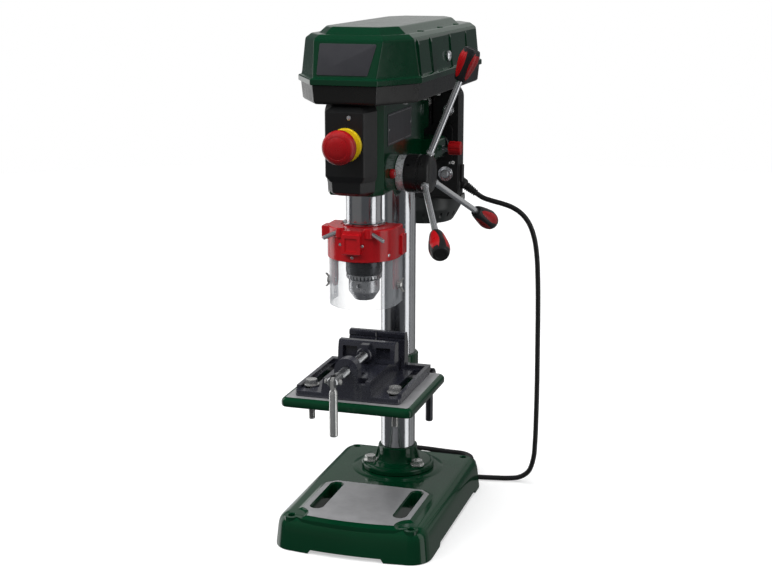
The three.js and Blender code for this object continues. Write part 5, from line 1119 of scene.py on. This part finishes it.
def pulley(radii, bore, x, y, foot):
    p = [(bore, 560 - foot)]
    if foot:
        p += [(9.0, 560 - foot), (9.6, 560.6 - foot), (9.6, 560)]
    for i, r in enumerate(radii):
        z = 560 + i * 11
        p += [(r - 0.4, z), (r, z + 0.35), (r, z + 0.7), (r - 0.5, z + 1.0), (r - 6.1, z + 3.0), (r - 6.6, z + 3.6), (r - 6.6, z + 7.4), (r - 6.1, z + 8.0), (r - 0.5, z + 10.0), (r, z + 10.3), (r, z + 10.7), (r - 0.4, z + 11)]
    p += [(bore + 5, 615), (bore + 4.4, 614.4), (bore, 614.4)] if radii[-1] < 30 else [(r - 5, 615), (r - 6.5, 612.5), (bore + 5.5, 612.5), (bore + 5, 615), (bore, 615)]
    return lathe(p, (x, y, 0), n=112)


sp_p = pulley(STEP_R, 6.9, 0, SPY, 18)
piece(sp_p, "spindle_pulley_cast", "spindle_pulley", "alloy", "spindle_pulley", sharp=30)
mo_p = pulley(STEP_R[::-1], 7.3, 0, MOY, 0)
piece(mo_p, "motor_pulley_cast", "rotor", "alloy", "motor_pulley", sharp=30)
br, bz = 32.0, 560 + 22 + 5.5


def loop(R, n=40):
    return [(R * math.cos(math.pi * i / n), MOY + R * math.sin(math.pi * i / n)) for i in range(n + 1)] + [(R * math.cos(math.pi + math.pi * i / n), SPY + R * math.sin(math.pi + math.pi * i / n)) for i in range(n + 1)]


bo, bi = br + 0.4, br - 5.9
belt = ring_loft([(bz - 4.2, loop(bo - 0.5)), (bz - 3.8, loop(bo)), (bz + 3.8, loop(bo)), (bz + 4.2, loop(bo - 0.5)), (bz + 2.6, loop(bi + 0.3)), (bz + 2.2, loop(bi)), (bz - 2.2, loop(bi)), (bz - 2.6, loop(bi + 0.3))])
piece(belt, "drive_belt_vee", "frame", "rubber", "drive_belt", sharp=30)

# -------------------------------------------------------------------- motor
MO = rect(-64, 64, 72, 94, 5, 6)
mh = loft([(400, inset(MO, 2.2)), (400.5, inset(MO, 1.0)), (401.6, inset(MO, 0.2)), (403, MO), (537.5, MO), (541.5, inset(MO, 0.5)), (544.3, inset(MO, 1.6)), (545.6, inset(MO, 3.0)), (546, inset(MO, 4.4))])
drum = lathe([(0, 362), (37.6, 362), (39.6, 362.8), (41.6, 365.0), (50.6, 380.6), (51.6, 383), (52, 386.2), (52, 398.8), (51.3, 399.3), (51.3, 400.3), (52, 400.8), (52, 538), (51.2, 541.4), (48.8, 544.6), (45, 546), (0, 546)],
             (0, MOY, 0), n=128)
mh = join(mh, drum)
fpnl = prism(fillet([(28, 405), (59.5, 405), (62.6, 408), (62.6, 541), (59.5, 544), (28, 544)], [1.5, 1.5, 2.5, 2.5, 1.5, 1.5], 4), 66, 76, "Y", 0, 2, bev0=0.8)
mh = join(mh, fpnl)
vents = []
for k in range(19):
    a = -18 + 12 * k
    for z0, z1 in ((412, 452), (474, 520)):
        vents.append(turned(box(49.4, 54, MOY - 1.7, MOY + 1.7, z0, z1), about("Z", a, (0, MOY, 0))))
for k in range(24):
    vents.append(turned(box(44.6, 54, MOY - 1.5, MOY + 1.5, 369.5, 377.5), about("Z", 15 * k, (0, MOY, 0))))
mh = cut(mh, merge(*vents), prism(circle(5.9, 40, 45.7, 435.6), 60, 74, "Y"), cyl(7.4, 470, 560, (0, MOY), n=48),
         lathe([(0, 60), (5.2, 60), (5.2, 67.4), (0, 67.4)], (49, 0, 520.3), (0, 1, 0), 32), box(30.5, 60.5, 65.4, 66.45, 503.6, 504.3))
# the drum below the seam takes the lighter drum material, a painted sheen
piece(mh, "motor_shell", "motor", ["plastic", "drum"], "motor_housing", bevel=0.5, angle=36, sharp=30,
      paint=lambda c, n: 1 if c.z < 402 and math.hypot(c.x, c.y - MOY) < 52.4 and c.z > 362.5 else 0)
piece(merge(*[lathe([(0, 361.2), (3.4, 361.2), (3.6, 361.6), (3.6, 363.6), (0, 363.6)], (x, y, 0), n=24) for x, y in ((-24, 100), (24, 100), (-24, 148), (24, 148))]),
      "motor_base_screws", "motor", "zinc", bevel=0.1)
ms = lathe([(0, 61.6), (3.6, 61.6), (5.0, 62.5), (5.0, 64.4), (7.4, 64.6), (7.6, 65.0), (7.6, 66.0), (0, 66.0)], (49, 0, 520.3), (0, 1, 0), 40)
ms = cut(ms, lathe([(0, 58), (2.6, 58), (2.6, 63.2), (0, 63.2)], (49, 0, 520.3), (0, 1, 0), 6))
piece(ms, "motor_panel_screw", "motor", "chrome", bevel=0.15)
nut = cut(both(prism(circle(8.8, 6, 45.7, 435.6, 0.3), 63, 66.4, "Y"), lathe([(0, 62.9), (8.0, 62.9), (9.4, 64.2), (9.4, 66.6), (0, 66.6)], (45.7, 0, 435.6), (0, 1, 0), 48)), prism(circle(5.95, 40, 45.7, 435.6), 60, 74, "Y"))
wsh = cut(lathe([(0, 64.9), (9.6, 64.9), (9.9, 65.3), (9.9, 66.1), (0, 66.1)], (45.7, 0, 435.6), (0, 1, 0), 48), prism(circle(5.95, 40, 45.7, 435.6), 60, 74, "Y"))
piece(merge(nut, wsh), "motor_switch_nut", "motor", "chrome", bevel=0.2)
bt = lathe([(0, 60.4), (2.6, 60.4), (4.4, 60.9), (5.2, 61.8), (5.5, 63.0), (5.5, 70), (0, 70)], (45.7, 0, 435.6), (0, 1, 0), 48)
piece(bt, "motor_switch_button", "motor_button", "alloy", "motor_reset_button", bevel=0.1)
ring = cut(lathe([(0, 65.75), (2.4, 65.75), (2.4, 66.2), (0, 66.2)], (56.0, 0, 450.9), (0, 1, 0), 32), lathe([(0, 60), (0.8, 60), (0.8, 70), (0, 70)], (56.0, 0, 450.9), (0, 1, 0), 24))
piece(merge(box(50.4, 52.3, 65.75, 66.2, 448.9, 453.0), ring), "switch_marks", "motor", "white", sharp=60)
piece(lathe([(0, 472), (6.6, 472), (7, 472.6), (7, 616), (6.2, 617), (0, 617)], (0, MOY, 0), n=56), "motor_shaft_turned", "rotor", "steel", "motor_shaft", sharp=30)
sld = join(prism(fillet([(-56, 452), (26, 452), (26, 540), (-56, 540)], [6, 2, 6, 6], 5), 60, 71.6, "Y", 0.6, 2), prism(fillet([(20, 452), (56, 452), (56, 502), (20, 502)], [2, 6, 6, 2], 5), 60, 65.6, "Y", 0.6, 2))
for s in (-1, 1):
    sld = join(sld, lathe([(0, -3), (5.2, -3), (6, -2.2), (6, 62), (0, 62)], (s * 42, 0, 477), (0, 1, 0), 48), lathe([(0, 54), (9.6, 54), (10.4, 55), (10.4, 61), (0, 61)], (s * 42, 0, 477), (0, 1, 0), 48))
sld = cut(sld, *[box(x, x + 12, 58.8, 61.2, 468, 526, 0, 2, 2, "Y") for x in (-44, -27, -10)])
piece(sld, "motor_slide_plate", "motor", "satin", "motor_slide", bevel=0.4)
bl = [hexhead(6.0, 0, 4.4, (x, 60, z), (0, -1, 0), a0=0.2) for x, z in ((-50, 532), (20, 532), (-50, 459))]
bl += [lathe([(0, 0), (7.2, 0), (7.4, 0.3), (7.4, 1.1), (0, 1.1)], (x, 60.1, z), (0, -1, 0), 32) for x, z in ((-50, 532), (20, 532), (-50, 459))]
piece(merge(*bl), "motor_slide_bolts", "motor", "zinc", bevel=0.15)

th = lathe([(0, 63), (8.0, 63), (8.6, 63.7), (8.9, 64.8), (8.9, 77.5), (8.2, 78.9), (7.0, 79.5), (0, 79.5)], (0, 18, 477), (1, 0, 0), 72)
th = cut(th, *[turned(prism(circle(2.4, 24, 18, 477 + 10.6), 62, 84, "X"), about("X", 45 * k, (0, 18, 477))) for k in range(8)])
rodt = lathe([(r, h) for r, h in threaded(3, 48.6, 63.4, 1, 0.35, 0.5)], (0, 18, 477), (1, 0, 0), 28)
rodt = join(rodt, lathe([(0, 57.8), (4.3, 57.8), (4.6, 58.2), (4.6, 63.4), (0, 63.4)], (0, 18, 477), (1, 0, 0), 36))
piece(merge(th, rodt), "tension_thumbscrew", "tension_screw", ["red", "steel"], "tension_screw", bevel=0.3, paint=lambda c, n: 1 if c.x < 63.45 and math.hypot(c.y - 18, c.z - 477) < 4.7 else 0)

# gland: flange on the shell, long tapered sleeve with rings, clip beside it
rd = Vector((0.82, 0.04, -0.57)).normalized()
ex = Vector((64.3, 86, 421))
prof = [(0, -4), (7.4, -4), (7.4, 3.6), (6.6, 4.8), (6.0, 5.2)]
for k in range(6):
    h = 6.4 + k * 2.7
    rr = 6.0 - 0.24 * k
    prof += [(rr - 0.9, h), (rr - 0.9, h + 0.8), (rr, h + 1.0), (rr - 0.08, h + 2.3)]
prof += [(4.3, 22.8), (4.0, 23), (0, 23)]
sr = cut(lathe(prof, ex, rd, 44), box(40, 64.05, 60, 110, 380, 460))
piece(sr, "gland_sleeve", "motor", "rubber", "strain_relief", bevel=0.2)
tab = join(box(63.6, 67.0, 74, 84.5, 424, 447, 0.6, 1.5, 2, "X"), box(63.6, 65.2, 76, 96, 396.5, 407, 0.5, 2, 2, "X"))
piece(tab, "gland_tab", "motor", "plastic", bevel=0.3)
clip = join(box(64.9, 66.0, 77.5, 94.5, 398.3, 405.2, 0.2, 1.5, 2, "X"), lathe([(0, 65), (2.4, 65), (2.4, 67.2), (1.6, 67.8), (0, 67.9)], (0, 81, 401.7), (1, 0, 0), 28))
piece(clip, "gland_clip", "motor", "zinc", bevel=0.15)

# ------------------------------------------------------------ stage and light
world = bpy.data.worlds.new("studio")
bpy.context.scene.world = world
world.use_nodes = True
world.node_tree.nodes["Background"].inputs[0].default_value = (0.80, 0.83, 0.88, 1)
world.node_tree.nodes["Background"].inputs[1].default_value = 0.11
bpy.context.scene.view_settings.view_transform = "Standard"
bpy.context.scene.view_settings.look = "None"
bpy.context.scene.view_settings.exposure = 0.0
bpy.context.scene.view_settings.gamma = 1.0


def plain(name, color, rough=0.7):
    m = bpy.data.materials.new(name)
    m.use_nodes = True
    b = m.node_tree.nodes["Principled BSDF"]
    b.inputs["Base Color"].default_value = (*color, 1)
    b.inputs["Roughness"].default_value = rough
    b.inputs["Specular IOR Level"].default_value = 0.2
    return m


def disc(r, z, name):
    bm = bmesh.new()
    bmesh.ops.create_circle(bm, cap_ends=True, segments=96, radius=r)
    me = bpy.data.meshes.new(name)
    bm.to_mesh(me); bm.free()
    o = bpy.data.objects.new(name, me)
    o.location.z = z
    bpy.context.collection.objects.link(o)
    return o


floor = disc(3.2, -0.0006, "studio_floor")
floor.data.materials.append(plain("floor_white", (0.64, 0.64, 0.64)))
floor.data.materials[0].node_tree.nodes["Principled BSDF"].inputs["Emission Color"].default_value = (1, 1, 1, 1)
floor.data.materials[0].node_tree.nodes["Principled BSDF"].inputs["Emission Strength"].default_value = 0.48
floor.visible_glossy = False
floor.visible_diffuse = False


def emitter(name, strength, color=(1, 1, 1)):
    m = bpy.data.materials.new(name)
    m.use_nodes = True
    t = m.node_tree
    t.nodes.clear()
    out = t.nodes.new("ShaderNodeOutputMaterial")
    e = t.nodes.new("ShaderNodeEmission")
    e.inputs[0].default_value = (*color, 1)
    e.inputs[1].default_value = strength
    t.links.new(e.outputs[0], out.inputs[0])
    return m


# pale surround that only the camera sees
n = 96
verts = [(3.17 * math.cos(2 * math.pi * i / n), 3.17 * math.sin(2 * math.pi * i / n), z) for z in (-0.02, 8.0) for i in range(n)]
faces = [(i, (i + 1) % n, n + (i + 1) % n, n + i) for i in range(n)] + [tuple(range(n, 2 * n))]
me = bpy.data.meshes.new("studio_surround")
me.from_pydata(verts, [], faces)
sur = bpy.data.objects.new("studio_surround", me)
bpy.context.collection.objects.link(sur)
me.materials.append(emitter("surround_white", 1.0))
for k in ("visible_diffuse", "visible_glossy", "visible_transmission", "visible_shadow", "visible_volume_scatter"):
    setattr(sur, k, False)
sur.visible_transmission = True


def softbox(name, at, aim, w, h, power, color=(1, 1, 1), glossy=True):
    l = bpy.data.lights.new(name, "AREA")
    l.shape, l.size, l.size_y, l.energy, l.color = "RECTANGLE", w, h, power, color
    o = bpy.data.objects.new(name, l)
    bpy.context.collection.objects.link(o)
    o.location = at
    o.rotation_euler = (Vector(aim) - Vector(at)).to_track_quat("-Z", "Y").to_euler()
    o.visible_glossy = glossy
    o.visible_camera = False
    return o


def card(name, p0, p1, z0, z1, strength):
    """A bright panel that shows in reflections only."""
    me = bpy.data.meshes.new(name)
    me.from_pydata([(*p0, z0), (*p1, z0), (*p1, z1), (*p0, z1)], [], [(0, 1, 2, 3)])
    o = bpy.data.objects.new(name, me)
    bpy.context.collection.objects.link(o)
    me.materials.append(emitter(name + "_glow", strength))
    for k in ("visible_camera", "visible_diffuse", "visible_transmission", "visible_shadow", "visible_volume_scatter"):
        setattr(o, k, False)


sun_data = bpy.data.lights.new("overhead", "SUN")
sun_data.energy, sun_data.angle = 2.9, math.radians(84)
sun = bpy.data.objects.new("overhead", sun_data)
bpy.context.collection.objects.link(sun)
sun.rotation_euler = (math.radians(14), math.radians(-12), 0)
sun.visible_glossy = False
softbox("key", (-1.5, -1.7, 1.9), (0, 0, 0.32), 1.1, 1.6, 14, glossy=False)
softbox("fill", (1.9, -1.1, 1.1), (0, 0, 0.35), 0.8, 1.5, 13, glossy=False)
softbox("top", (0.0, -0.1, 2.6), (0, 0, 0.3), 1.6, 1.6, 12, glossy=False)


def arc(name, a0, a1, z0, z1, strength, r=2.0):
    """Bright panels from one azimuth to the other, in degrees round the machine."""
    k = max(1, round((a1 - a0) / 30))
    for i in range(k):
        p, q = (math.radians(a0 + (a1 - a0) * j / k) for j in (i, i + 1))
        card(f"{name}_{i}", (r * math.cos(p), r * math.sin(p)), (r * math.cos(q), r * math.sin(q)), z0, z1, strength)


arc("card_left", 154, 183, -1.5, 2.2, 1.5)
arc("card_right", -23, 4, -1.5, 2.2, 1.4)
arc("card_low_side", 52, 90, -1.5, -0.05, 0.18)
arc("card_front", -150, -89, -0.3, 2.2, 0.17)
arc("card_rear_right", 14, 62, -1.5, 2.2, 0.34)
arc("card_rear_left", 122, 148, -1.5, 0.48, 0.9)
card("card_back", (-1.3, 2.05), (0.15, 2.05), 0.55, 0.80, 0.42)
card("card_back_high", (-1.3, 2.05), (0.15, 2.05), 0.81, 1.7, 0.40)
card("card_back_side", (0.2, 2.05), (1.3, 2.05), 0.70, 1.7, 0.36)
